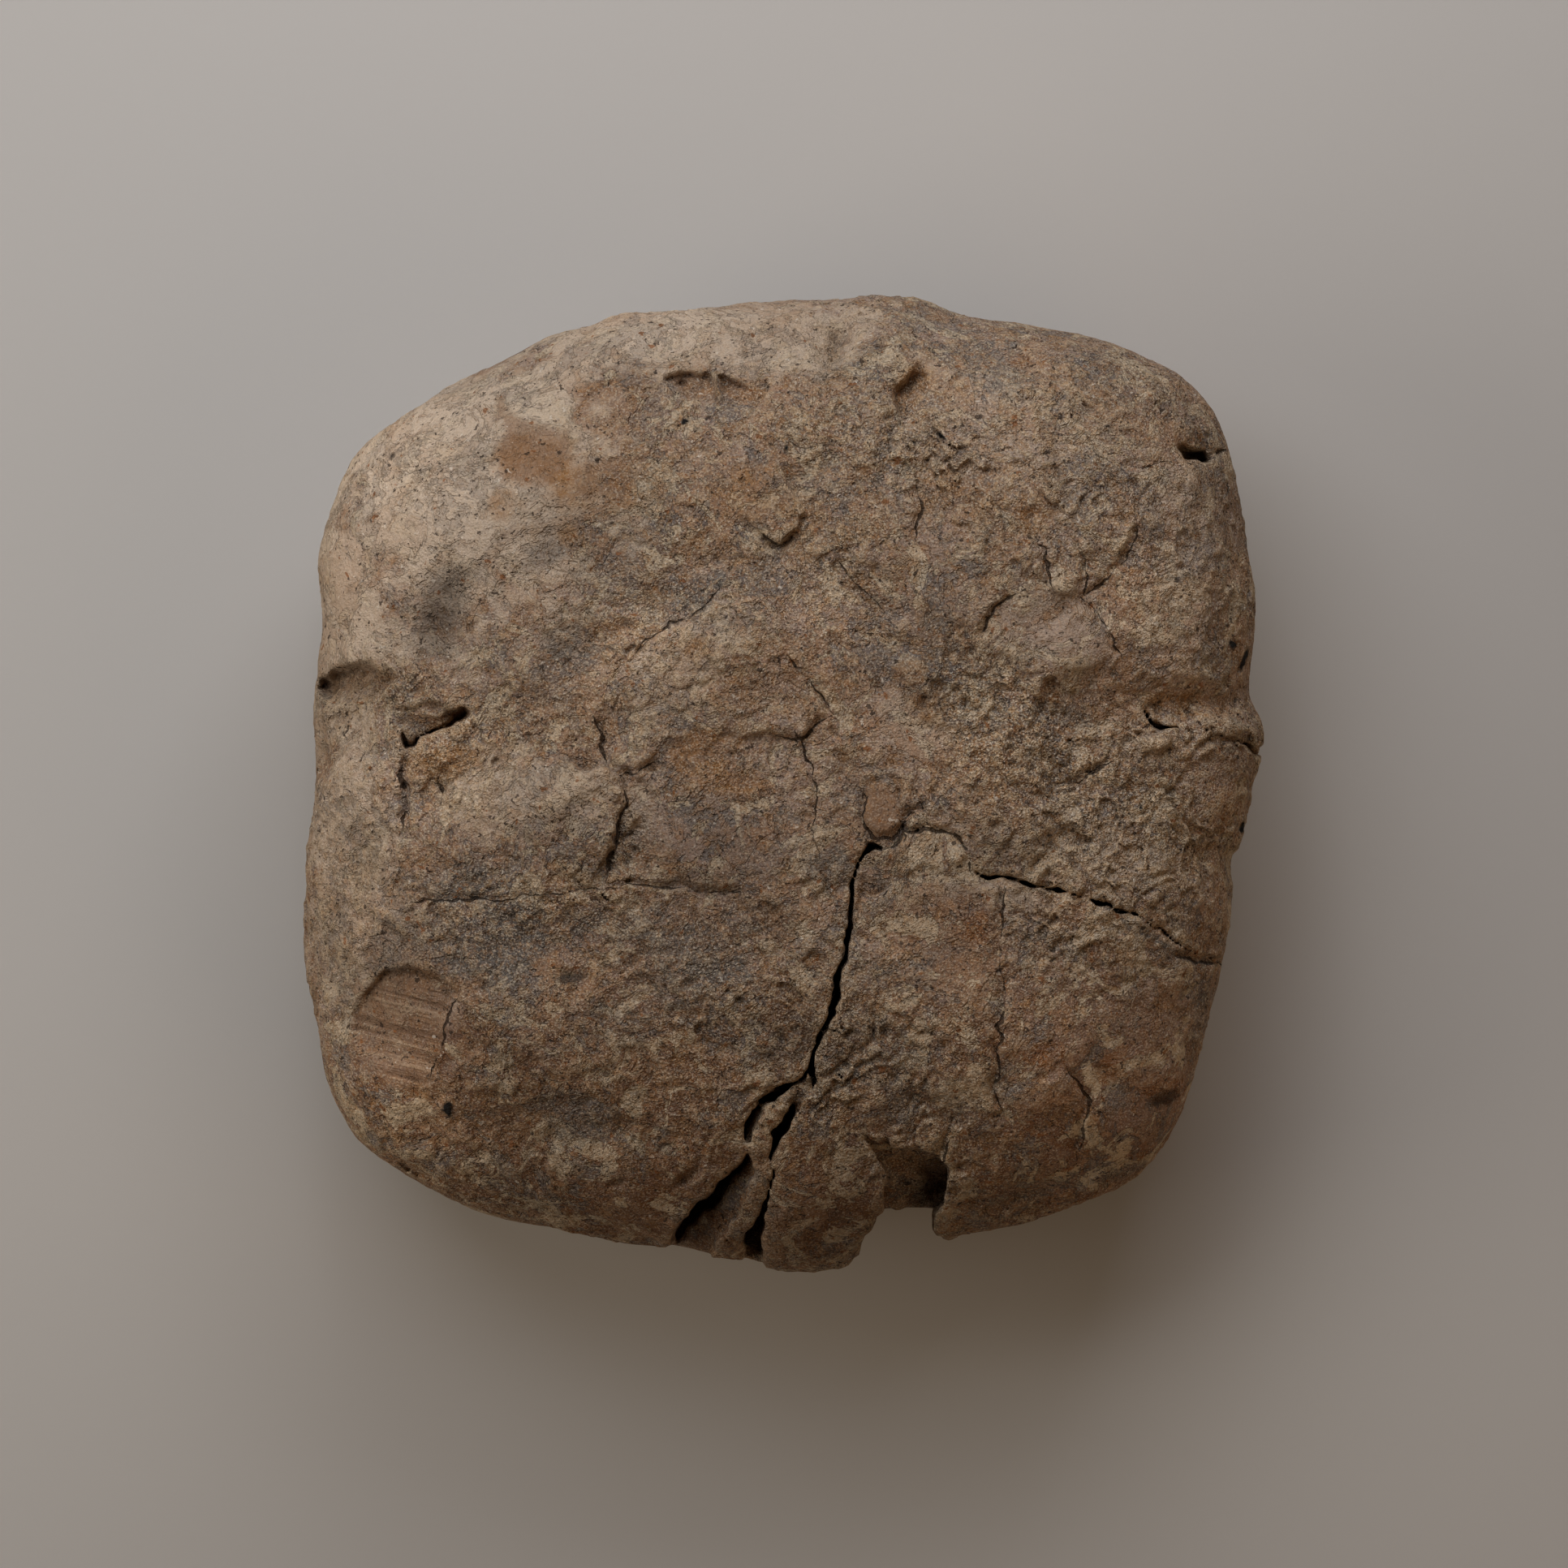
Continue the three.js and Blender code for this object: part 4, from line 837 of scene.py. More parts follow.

# %% [markdown]
# ## What colour it is, and where
# The clay is a pinkish brown. The upper left, which faces the light, is paler and greyer: partly rubbed skin, partly
# painted light, and some of the lower rims are paled as painted light too. Smoke and soil have left slate-grey
# clouds, iron has left ochre smears and rust spots, and there are a few black specks of charcoal. A few slate, ochre
# and dark ovals sit in hollows as painted shade. Each kind is a weight for every vertex, from ovals whose outlines
# are torn by random ground. Softer ovals make whole areas paler or darker, partly as painted light and shade. Brown
# slip and other films end in a crisp edge, so they are drawn by outlines.

# %% Stains and painted light
# Each: x, y, half length, half width, turn in degrees, strength.
STAINS_AND_PAINTED_LIGHT = {
    "slate": [
        # the first oval greys the dent at -20.8, 10.1: grey stain, and painted shade in the dent
        [-20.8, 10.1, 1.5, 2.7, -14, 0.4], [-19.3, -6, 2.4, 1.2, 0, 1], [-22.3, -9, 2.6, 1.3, 0, 0.6],
        [-17, -9.6, 3.4, 2.2, 20, 1], [-5.6, -10.4, 3.6, 3.2, 0, 0.85], [-5.2, 11.2, 2.5, 0.8, 38, 0.9],
        [3, -5.1, 1.7, 1.4, 0, 0.8], [16.8, 4, 1.7, 1.9, 0, 0.7], [13.4, 24.7, 1.4, 1.5, 0, 0.5],
        [20.3, -19, 0.9, 1.1, 0, 0.8], [-10.3, 12.2, 2.2, 2.2, 0, 0.4], [-14.2, 14, 1.4, 0.7, 20, 0.6],
        [-12.8, 8.2, 1.5, 1.1, -30, 0.8], [-13.8, 7, 2.1, 0.8, 20, 0.6], [-2, -3.8, 2.8, 1.6, 0, 0.4],
        [-4.3, -6, 3, 1, 0, 0.4], [-12.3, -8.4, 2.2, 1, 10, 0.6], [-9.5, -8.8, 1.4, 1.1, 0, 0.5],
        [-24.2, -10.7, 1.6, 0.9, -10, 0.6], [-18.7, -10.8, 2.1, 0.8, 20, 0.9], [-12.7, -20, 1.8, 1.4, 0, 0.7],
        [-10.8, -14.5, 2.5, 1.3, 0, 0.5], [-0.2, -8.3, 1, 1.2, 0, 0.4], [0.8, -15.3, 1.6, 1.4, 0, 0.5],
        [4.8, -16.2, 2.8, 2.3, 0, 0.55], [8.2, -19.8, 2.6, 1.8, 0, 0.5], [13.8, -18.2, 1.4, 1.2, 0, 0.6],
        [11.8, -20.5, 1.7, 1, 0, 0.4], [14.3, -8.8, 1, 2.4, 10, 0.35], [25.8, -13.8, 0.9, 1.9, -20, 0.7],
        [20.7, -23.8, 1.8, 0.4, 20, 0.6], [14.8, -25, 3.4, 0.5, 18, 0.6], [21.5, -8.7, 2.6, 0.35, -32, 1.3],
        # the oval at -5.6, 24.3 darkens the left slot under its overhang: painted shade
        [-5.6, 24.3, 0.9, 0.8, 0, 0.7], [-15.5, 0, 2.2, 1.2, 20, 0.4], [-1.6, 5.3, 2.4, 1.3, 25, 0.4],
    ],
    "ochre": [
        [-21.2, 1.2, 2.3, 1, 10, 0.8], [-15.2, 19.4, 2.4, 1.6, -15, 1], [-17, 17, 1, 0.9, 0, 0.7],
        [-4.8, 1.7, 1.9, 1.6, 0, 0.9], [1, 16.2, 1.2, 1.2, 0, 0.5], [11.2, 17.2, 2.6, 1.7, 0, 0.6],
        [7.8, 24, 0.9, 1.5, -22, 0.9], [-2.6, 23.95, 1.3, 0.6, -12, 1.4], [-5.2, 24.1, 1.1, 0.7, 0, 0.9],
        # the oval at -25.6, 6 browns the left hollow under its overhang: painted shade
        [-25.6, 6, 2.4, 0.8, 8, 0.5], [-11.2, 18, 2.9, 1.4, 0, 0.65], [-1.8, 17.8, 2.3, 1.9, 0, 0.5],
        [14.8, 16.2, 1.4, 1.2, 30, 0.8], [-3.2, 0.1, 2.3, 0.7, 0, 0.8], [-13, 15.2, 0.8, 0.9, 0, 0.7],
        [-5.2, 8.2, 0.8, 0.6, 0, 0.7], [-1.2, 5.5, 2.5, 1.6, 20, 0.4], [7.7, 6.7, 1, 0.8, 0, 1.2],
        [8.5, 4.6, 1, 0.5, -50, 0.9], [5.95, -1.6, 0.9, 1.6, 6, 1.3], [24.8, 4.8, 3.2, 0.7, -8, 0.8],
        [0, 27.6, 3, 0.9, 0, 0.2], [-26.5, -10.2, 1.8, 0.4, 0, 0.3],
    ],
    # red-brown, darker and redder towards the bottom
    "redder_low": [[-6, -25, 25, 13, 0, 1], [14, -21, 14, 13, 0, 0.6], [-8, -12, 12, 6, 0, 0.6], [-14, -6, 6, 4, 0, 0.4]],
    "rust": [
        [11.6, -8.6, 0.9, 1, 0, 1], [16.1, -16.5, 1.6, 0.8, 15, 1], [19.7, -17.3, 0.8, 0.9, 0, 0.9],
        [14.4, 25.8, 0.7, 0.5, 0, 0.8], [9.3, -13.3, 0.8, 0.8, 0, 0.7], [6.5, -12.5, 0.9, 0.7, 0, 0.5],
        [14.2, -20.8, 1, 0.8, 0, 0.4], [23.2, -18.7, 1.4, 1, 0, 0.9], [21.5, -22.5, 0.7, 0.6, 0, 0.5],
        [-1.2, -3, 1.5, 0.4, 0, 0.5], [-4.9, 2.9, 0.5, 0.4, 0, 0.6], [13.9, 3.2, 0.7, 0.4, 0, 0.5],
    ],
    "dark": [
        # the oval at -20.9, 10.3 darkens the same dent: partly painted shade
        [23.2, -19.2, 0.95, 0.5, 12, 0.7], [-12.9, -11.7, 1, 0.35, 8, 0.7], [-20.9, 10.3, 1.3, 2.3, -14, 0.15],
        [-6, 21.95, 0.2, 0.2, 0, 1.4], [-20.4, -19.75, 0.3, 0.42, 20, 1.6], [0.1, 20.45, 0.14, 0.14, 0, 1.2],
        [3.7, 23.3, 0.14, 0.14, 0, 1.2], [2.65, -2.3, 0.12, 0.12, 0, 1], [-23.75, 20.1, 0.28, 0.12, 25, 1.2],
        [21.65, -1.4, 0.14, 0.14, 0, 1.2], [9.5, 21.1, 0.32, 0.1, -40, 1.2], [10.65, -25.65, 0.12, 0.12, 0, 1.2],
        [27.4, 8.5, 0.3, 0.22, -20, 1.3], [28.2, 7.6, 0.16, 0.75, -20, 1.3], [28.1, -2.7, 0.18, 0.4, -15, 1.2],
        [-9.6, 23.85, 0.18, 0.12, 0, 1], [-11.2, 25.35, 0.14, 0.1, 0, 1], [27.1, 9.6, 0.12, 0.2, 0, 1],
    ],
    # paler clay: rubbed skin with lime, and painted light on the upper left and on some lower rims
    "pale_and_painted_light": [
        [-19.5, 18.5, 9.5, 9, 45, 1], [-5, 27, 11, 3, 0, 0.9], [-27, 10, 3, 9, 0, 0.9], [-26.5, -3, 3, 6, 0, 0.8],
        [-15.5, -0.6, 4.8, 2.6, 0, 0.8], [-5.8, 7.8, 4.8, 2.4, 28, 0.7], [12.5, 21, 6, 5, 0, 0.3],
        [8, 3.3, 2.3, 1.9, -38, 0.5], [19, -4.3, 5.5, 1.8, -10, 0.6], [14, -6.9, 2.6, 0.6, -15, 0.8],
        [-26, -9, 3.2, 5, 0, 0.6], [16, 9, 4, 2.6, 0, 0.3], [-9, -1.5, 1.2, 2, 0, 0.6], [9, -6.5, 2.6, 0.8, 20, 0.5],
        [12.6, -3, 3, 1, 0, 0.3], [24.5, 12, 2.5, 6, 0, 0.35], [22, 2.4, 2.2, 1, 0, 0.4],
    ],
}


STAIN_EDGE = 0.28  # half the width of a stain's soft edge, as a share of its half width


def stain(spots, x, y, tear):
    """The strongest of the ovals at each point. Its soft edge is moved by the tear, less for a small oval."""
    total = np.zeros(x.shape, np.float32)
    for spot in spots:
        out = oval(x, y, spot) + min(1.1, 0.1 + 0.5 * min(spot[2:4])) * tear
        total = np.maximum(total, spot[5] * (1 - smooth_step(1 - STAIN_EDGE, 1 + STAIN_EDGE, out)))
    return total


# Paler (+) and darker (-) clay: x, y, half length, half width, turn in degrees, change as a share. Partly painted
# light and shade: paler on the lower left and lower right, darker in the hollow at -25.8, 6, in the dent at -20.8,
# 10.1 and by the long crack at 0.5, -15.8.
TONES_AND_PAINTED_LIGHT = [
    [-25, 20, 4.5, 5.5, 20, 0.3], [-26.5, 12, 3, 4, 0, 0.25], [-8.5, 8.8, 5, 2.6, 35, 0.25],
    [2, 10, 2.5, 2.5, 0, 0.25], [-21.5, -0.5, 6, 3, 0, 0.3], [-26.5, -8, 3, 5, 0, 0.2],
    [-23.5, -19.5, 5, 3.5, -40, 0.6], [21, 12, 3, 5, 0, 0.35], [24, 6.5, 2, 1.5, 0, 0.25], [17.5, -18, 6, 5, 0, 0.4],
    [-9, 28.5, 4, 2, 0, 0.2], [12, 24, 5, 3.5, 0, 0.2], [-20, 2.8, 2.5, 1.5, 0, 0.2], [6, 2.6, 6, 2, 0, 0.2],
    [-13.5, 16.5, 4.5, 3, 0, -0.2], [-6.5, -4, 7, 3, 0, -0.25], [4.5, -3, 2.5, 2.5, 0, -0.12],
    [13, -4.3, 2.5, 2.6, 0, -0.25], [0.5, -15.8, 3.6, 3, 0, -0.25], [5.6, -21, 2.2, 2.4, 0, -0.15],
    [-25.8, 6, 2.5, 0.9, 8, -0.25], [8, 6.3, 3, 2, 0, -0.1], [18, 0, 9, 6, 0, 0.15], [28, 17.5, 2, 3, 0, -0.25],
    [28, 2.5, 2, 2, 0, -0.25], [-15, 18.6, 2.6, 2, 0, 0.12], [-20.8, 10.1, 1.3, 2.4, -14, -0.38],
    [3, -27, 9, 3.6, 0, -0.28], [-15, -24, 6, 3, -30, -0.12],
]
# Films with a crisp edge, each a strength and an outline: brown slip that ran and dried, the floors of the slots,
# pebbles and the bared blade mark.
FILMS = [
    [0.7, [[-17.65, 23.6], [-17.4, 22.5], [-16.8, 21.45], [-17.2, 20.65], [-17.2, 19.5], [-16.9, 18.6], [-15.6, 18.2],
        [-14.2, 18], [-12.9, 19.6], [-13.2, 21.2], [-14.6, 21.7], [-16.2, 22.2], [-16.95, 22.95], [-17.35, 23.6]]],
    [1, PEBBLE], [0.55, LEFT_SLOT], [0.85, RIGHT_SLOT],
    [0.95, [[6.5, 6.3], [6.7, 7.3], [7.5, 7.6], [8.6, 7.4], [8.7, 6.2], [8, 5.8], [7.1, 5.9]]],
    [0.4, [[-7.1, 2.6], [-6, 3], [-4.9, 2.6], [-4.2, 1.6], [-4.1, 0.6], [-5.2, 0.1], [-6.6, 0.4], [-6.5, 1.4]]],
    [0.8, [[-3.4, 0.3], [-2.4, 0.6], [-1.5, 0.3], [-1.9, -0.1], [-3.1, 0]]],
    [0.55, [[2.8, -1.4], [3.4, -1.1], [4, -1.4], [3.9, -2.2], [3.2, -2.4]]], [0.7, BLADE_MARK],
    [0.6, [[15.2, 15.9], [14.3, 17], [15.5, 17.6], [16.4, 16.8], [15.9, 15.6]]],
    [0.6, [[-12.3, 17.2], [-9.8, 17.6], [-7.9, 18.6], [-8.3, 19.9], [-10.6, 19.6], [-12.6, 18.9]]],
    [0.6, [[13.6, 18.8], [12.6, 17.4], [10.5, 16.2], [9.7, 17.2], [11, 18.6], [12.4, 19.4]]],
]
px, py, pz = (co / MM).T.astype(np.float32)
on_top = smooth_step(LEVEL - 4.0, LEVEL + 1.0, pz)
tear = layered(px, py, pz, [[0.4, 2.4, 71], [0.3, 0.9, 72], [0.25, 0.4, 73]])
stains_and_painted_light = {kind: stain(ovals, px, py, tear) * on_top for kind, ovals in STAINS_AND_PAINTED_LIGHT.items()}
film = np.zeros_like(px)
for strength, outline in FILMS:
    film = np.maximum(film, strength * smooth_step(0.12, -0.12, from_outline(outline, px, py) + 0.35 * tear))
film *= on_top
print({kind: f"{100 * (w > 0.3).mean():.1f}%" for kind, w in stains_and_painted_light.items()})

# %% [markdown]
# ## Slits finer than a triangle
# Each vertex is told its signed distance to the nearest fine crack, plus on one side and minus on the other. Across a
# triangle that number runs evenly through zero, so the material can draw a dark line a tenth of a millimetre wide
# there, painted shade inside the crack, and it stays sharp however large the triangle is. The plain distance goes
# along with it, to rule out false zeros.

# %% Slits
near_slit = np.full(len(px), 9.0, np.float32)
signed, slit_width = np.zeros_like(near_slit), np.zeros_like(near_slit)
bent_x, bent_y = torn(px, py)
for wide, _, line in FINE:
    near, side, way, _ = from_line(line, bent_x, bent_y)
    closer = near < near_slit
    signed = np.where(closer, near * side, signed)
    slit_width = np.where(closer, 0.32 * wide * fading(way, 0.02, 0.15), slit_width)
    near_slit = np.minimum(near_slit, near)


def keep(name, kind, field_name, values):
    """Writes one value, or one row of values, for every vertex, under a name that the material can ask for."""
    stored_values = shape.attributes.new(name, kind, "POINT")
    stored_values.data.foreach_set(field_name, np.ascontiguousarray(values, np.float32).ravel())


keep("film", "FLOAT", "value", film)
keep("tone_and_painted_light", "FLOAT", "value", 1 + np.clip(weight(TONES_AND_PAINTED_LIGHT, px, py), -0.4, 0.6) * on_top)
keep("bladed", "FLOAT", "value", smooth_step(0.15, -0.25, from_outline(BLADE_MARK, px, py)) * on_top)
keep("slit", "FLOAT_VECTOR", "vector", np.column_stack([signed, near_slit, slit_width * on_top]))
print(f"{(near_slit < 0.3).sum()} vertices lie by a slit")

# %% [markdown]
# ## Hollows and crests
# Where the face is broken, fresh clay shows, paler and yellower than the old skin. The deepest places are painted
# darker, as painted shade, and the crests of crumbled ground paler, as painted highlight. How sunk a vertex is comes
# from the mesh itself: the mean height of its neighbours over it along its own normal, smoothed over a few rounds so
# that whole cracks count, not single edges.

# %% How sunk each vertex is
edges = np.empty(len(shape.edges) * 2, np.int32)
shape.edges.foreach_get("vertices", edges)
edge_a, edge_b = edges.reshape(-1, 2).T
normals = np.empty(len(shape.vertices) * 3, np.float32)
shape.vertices.foreach_get("normal", normals)
normals = normals.reshape(-1, 3)
degree = np.bincount(edges, minlength=len(co)).astype(np.float64)


def spread(values):
    """Each vertex takes the mean of its neighbours."""
    total = np.bincount(edge_a, values[edge_b], len(values)) + np.bincount(edge_b, values[edge_a], len(values))
    return total / degree


def sunk(rounds):
    """Height of the spread-out surface over each vertex along its normal, in mm."""
    away = co.copy()
    for _ in range(rounds):
        away = np.column_stack([spread(away[:, i]) for i in range(3)])
    return ((away - co) * normals).sum(1) / MM


hollow = np.clip(sunk(3) / 0.09, -1, 1) * 0.6 + np.clip(sunk(14) / 0.5, -1, 1) * 0.4
print(f"hollow from {hollow.min():.2f} to {hollow.max():.2f}, mean {hollow.mean():.3f}")

# %% Write the weights on the mesh
crumbled = np.clip(weight(ROUGH, px, py, 0.6) * 0.6, 0, 1)
for name, parts in {
    "stain_a": [stains_and_painted_light["slate"], stains_and_painted_light["ochre"], stains_and_painted_light["rust"], stains_and_painted_light["dark"]],
    "stain_and_painted_light_b": [stains_and_painted_light["pale_and_painted_light"], 0.5 + 0.5 * hollow, crumbled, stains_and_painted_light["redder_low"]],
}.items():
    keep(name, "FLOAT_COLOR", "color", np.column_stack(parts))
print("weights written:", [a.name for a in shape.attributes if a.domain == "POINT"])

# %% [markdown]
# ## Dry, unfired clay
# Unfired clay has no gloss at all: light goes a little way into its powdery skin and comes out evenly. So the shader
# is rough and its specular level is low. Its colour changes at every size, from clouds of many millimetres down to
# single grains of about 0.2 mm, and its finest relief, finer than the mesh can carry, is bump.

# %% Helpers for materials


def linear(hex_colour):
    """An sRGB hex value as linear red, green, blue and alpha."""
    srgb = np.array([int(hex_colour[i : i + 2], 16) for i in (1, 3, 5)]) / 255
    return (*np.where(srgb <= 0.04045, srgb / 12.92, ((srgb + 0.055) / 1.055) ** 2.4), 1.0)


def add_node(tree, kind, settings=None, **links):
    """Adds a node, sets its properties, and sets or links its inputs by name."""
    node = tree.nodes.new(kind)
    for name, value in (settings or {}).items():
        setattr(node, name, value)
    for name, value in links.items():
        numbered = name[0] == "i" and name[1:].isdigit()  # i0, i1 and so on, where names repeat
        socket = node.inputs[int(name[1:]) if numbered else name.replace("_", " ")]
        if isinstance(value, bpy.types.NodeSocket):
            tree.links.new(value, socket)
        else:
            socket.default_value = value
    return node


def per_metre(size_mm):
    """The scale of a texture whose features are this many millimetres."""
    return 1000.0 / size_mm


# %% The clay's material
CLAY_BROWN = linear("#7F6A5B")  # body of the clay
CLAY_PINK = linear("#9C8474")  # where the skin is whole
CLAY_PALE_AND_PAINTED_LIGHT = linear("#C6B29C")  # rubbed skin with lime in it, and painted light
FRESH = linear("#B59B7B")  # fresh clay where the skin has gone
BROWN_SLIP = linear("#8A6B52")
SLATE = linear("#6C655F")  # smoke and soil
OCHRE = linear("#9A7045")
RUST = linear("#865A38")
CHARCOAL = linear("#262422")
# painted shade for the deepest hollows
PAINTED_HOLLOW_SHADE = linear("#574233")
RED_BROWN_LOW = linear("#6E4A32")  # red-brown, over the lower half
TAN_SKIN = linear("#9A775B")
SMOKY_SKIN = linear("#6A6664")
LIMY_SKIN = linear("#D0BD9F")
PAINTED_CREST_HIGHLIGHT = linear("#D0B795")  # painted highlight on crests of broken ground

dry_clay = bpy.data.materials.new("unfired_clay")
dry_clay.use_nodes = True
tree = dry_clay.node_tree
tree.nodes.clear()
out = add_node(tree, "ShaderNodeOutputMaterial")
shader = add_node(tree, "ShaderNodeBsdfPrincipled", Roughness=0.95, IOR=1.45)
shader.inputs["Specular IOR Level"].default_value = 0.15
tree.links.new(shader.outputs[0], out.inputs["Surface"])
place = add_node(tree, "ShaderNodeTexCoord").outputs["Object"]


def stored(name, output="Color"):
    """A value kept on the vertices."""
    return add_node(tree, "ShaderNodeAttribute", {"attribute_name": name}).outputs[output]


slate, ochre, rust = add_node(tree, "ShaderNodeSeparateColor", i0=stored("stain_a")).outputs
dark = stored("stain_a", "Alpha")
rubbed_and_painted_light, hollowness, crumbled = add_node(tree, "ShaderNodeSeparateColor", i0=stored("stain_and_painted_light_b")).outputs
redder_low = stored("stain_and_painted_light_b", "Alpha")
film = stored("film", "Fac")
slit_side, slit_near, slit_half = add_node(tree, "ShaderNodeSeparateXYZ", i0=stored("slit", "Vector")).outputs


def noise(size_mm, detail=3.0, roughness=0.6, warp=0.0):
    """Noise with features of a size in millimetres, from 0 to 1. The warp bends its outlines."""
    values = {"Scale": per_metre(size_mm), "Detail": detail, "Roughness": roughness, "Distortion": warp}
    return add_node(tree, "ShaderNodeTexNoise", Vector=place, **values).outputs["Fac"]


def ramp(value, low_edge, high_edge, to_low=0.0, to_high=1.0):
    """Maps low..high to to_low..to_high, smoothly and no further."""
    limits = {"i0": value, "i1": low_edge, "i2": high_edge, "i3": to_low, "i4": to_high}
    return add_node(tree, "ShaderNodeMapRange", {"interpolation_type": "SMOOTHSTEP"}, **limits).outputs[0]


def maths(operation, a, b):
    """One sum on two values."""
    return add_node(tree, "ShaderNodeMath", {"operation": operation}, i0=a, i1=b).outputs[0]


def product(*values):
    """All the values multiplied."""
    total = values[0]
    for value in values[1:]:
        total = maths("MULTIPLY", total, value)
    return total


def coat(colour, paint, *shares):
    """A colour turned into a paint by the product of the shares."""
    paint = linear(paint) if isinstance(paint, str) else paint
    return add_node(tree, "ShaderNodeMix", {"data_type": "RGBA"}, i0=product(*shares), i6=colour, i7=paint).outputs[2]


# %% The clay's colour
speckle = noise(1.3, 4.0, 0.75)
fleck = noise(0.8, 3.0, 0.75, 0.6)
tint = noise(0.24, 1.0, 0.6)
fine_grain = noise(0.13, 1.0, 0.7)

colour = coat(CLAY_BROWN, CLAY_PINK, ramp(noise(7.0, 5.0, 0.65), 0.42, 0.56))
# Paler where rubbed, and painted light on the upper left and some lower rims.
colour = coat(colour, CLAY_PALE_AND_PAINTED_LIGHT, rubbed_and_painted_light, ramp(speckle, 0.3, 0.5, 0.8, 1.0))
colour = coat(colour, RED_BROWN_LOW, redder_low, ramp(speckle, 0.36, 0.56, 0.6, 1.0))

# %% Patches of skin
# Old skin comes off in layers, so its patches have ragged, crisp edges. They are 1 to 6 mm across: tan, smoky grey,
# limy cream, and small ones stained by iron. The same patches are raised or sunk by a tenth of a millimetre.
tan = ramp(noise(4.8, 5.0, 0.7, 0.7), 0.5, 0.525)
smoky = ramp(noise(3.9, 5.0, 0.72, 0.5), 0.54, 0.57)
limy = ramp(noise(3.1, 5.0, 0.72, 0.9), 0.54, 0.56)
iron = ramp(noise(1.4, 4.0, 0.72, 0.5), 0.56, 0.61)
whole = maths("SUBTRACT", 1.0, product(rubbed_and_painted_light, 0.65))
PATCHES = [[tan, 0.65, TAN_SKIN], [smoky, 0.7, SMOKY_SKIN], [limy, 0.65, LIMY_SKIN], [iron, 0.5, OCHRE]]
for patch, strength, paint in PATCHES:
    colour = coat(colour, paint, patch, whole, strength)

# %% Broken ground
# Fresh clay shows where the skin has gone, paler and yellower, on crests and in hollows alike. Stains lie over it.
broken = maths("ABSOLUTE", maths("SUBTRACT", hollowness, 0.5), 0)
fresh = product(maths("ADD", ramp(broken, 0.05, 0.2), ramp(speckle, 0.48, 0.54, 0.0, 0.6)), crumbled)
colour = coat(colour, FRESH, maths("MINIMUM", product(fresh, 0.6), 0.5))
for here, least, paint in ((slate, 0.45, SLATE), (ochre, 0.45, OCHRE), (rust, 0.4, RUST)):
    colour = coat(colour, paint, here, ramp(speckle, 0.42, 0.54, least, 0.95))
colour = coat(colour, BROWN_SLIP, film)
# Painted shade: the deepest hollows are darkened by how sunk they are.
colour = coat(colour, PAINTED_HOLLOW_SHADE, ramp(hollowness, 0.74, 0.94, 0.0, 0.55))
# Painted highlight: crests of crumbled ground are paled.
colour = coat(colour, PAINTED_CREST_HIGHLIGHT, ramp(hollowness, 0.4, 0.22), crumbled, 0.6)

# %% Grain
# It is strong on broken ground and faint on whole skin. Each: its noise, the two levels between which it comes or
# goes, its share at the first and at the second, and its colour.
GRAIN = [
    [fleck, 0.38, 0.46, 0.5, 0.0, "#665C54"],  # grey flecks
    [fleck, 0.56, 0.62, 0.0, 0.5, "#A9825B"],  # iron-stained flecks
    [tint, 0.36, 0.48, 0.4, 0.0, "#75716D"],  # grey grains
    [tint, 0.54, 0.64, 0.0, 0.42, "#B0804F"],  # orange grains
    [fine_grain, 0.32, 0.48, 0.55, 0.0, "#503C2A"],  # painted shade in the low spots between the grains
    [fine_grain, 0.52, 0.66, 0.0, 0.6, "#E4D3BA"],  # pale grains, and painted highlight on the raised ones
]
on_broken = maths("ADD", product(crumbled, 0.75), 0.35)
grainy = product(on_broken, maths("SUBTRACT", 1.0, product(rubbed_and_painted_light, 0.5)))
for texture, first, second, at_first, at_second, paint in GRAIN:
    colour = coat(colour, paint, ramp(texture, first, second, at_first, at_second), grainy)

# %% Streaks and grits
# The blade's streaks are drawn out 22 times along it. Grits are as strong everywhere. Each: its noise, the two levels
# between which it comes, its share and its colour.
drawn_out = {"Rotation": (0, 0, np.radians(BLADE_TURN)), "Scale": (22, 1, 100)}
along_blade = add_node(tree, "ShaderNodeMapping", {"vector_type": "TEXTURE"}, Vector=place, **drawn_out).outputs[0]
streaks = add_node(tree, "ShaderNodeTexNoise", Vector=along_blade, Scale=per_metre(0.45), Detail=3.0).outputs["Fac"]
bladed = stored("bladed", "Fac")
colour = coat(colour, "#6E5440", bladed, ramp(streaks, 0.36, 0.5, 0.7, 0.0))
colour = coat(colour, "#BBA084", bladed, ramp(streaks, 0.52, 0.66, 0.0, 0.5))
GRITS = [
    [noise(0.5, 2.0, 0.6), 0.69, 0.72, 0.5, "#E6DAC8"],  # lime
    [noise(0.55, 2.0, 0.6), 0.67, 0.7, 0.8, "#3A2F28"],  # dark grit
    [noise(0.3, 1.0, 0.5), 0.69, 0.73, 0.8, "#3E3229"],  # straw ends
    [noise(0.8, 2.0, 0.6), 0.69, 0.72, 0.8, "#8A5A36"],  # iron
]
for texture, first, second, strength, paint in GRITS:
    colour = coat(colour, paint, ramp(texture, first, second, 0.0, strength))
colour = coat(colour, CHARCOAL, dark)

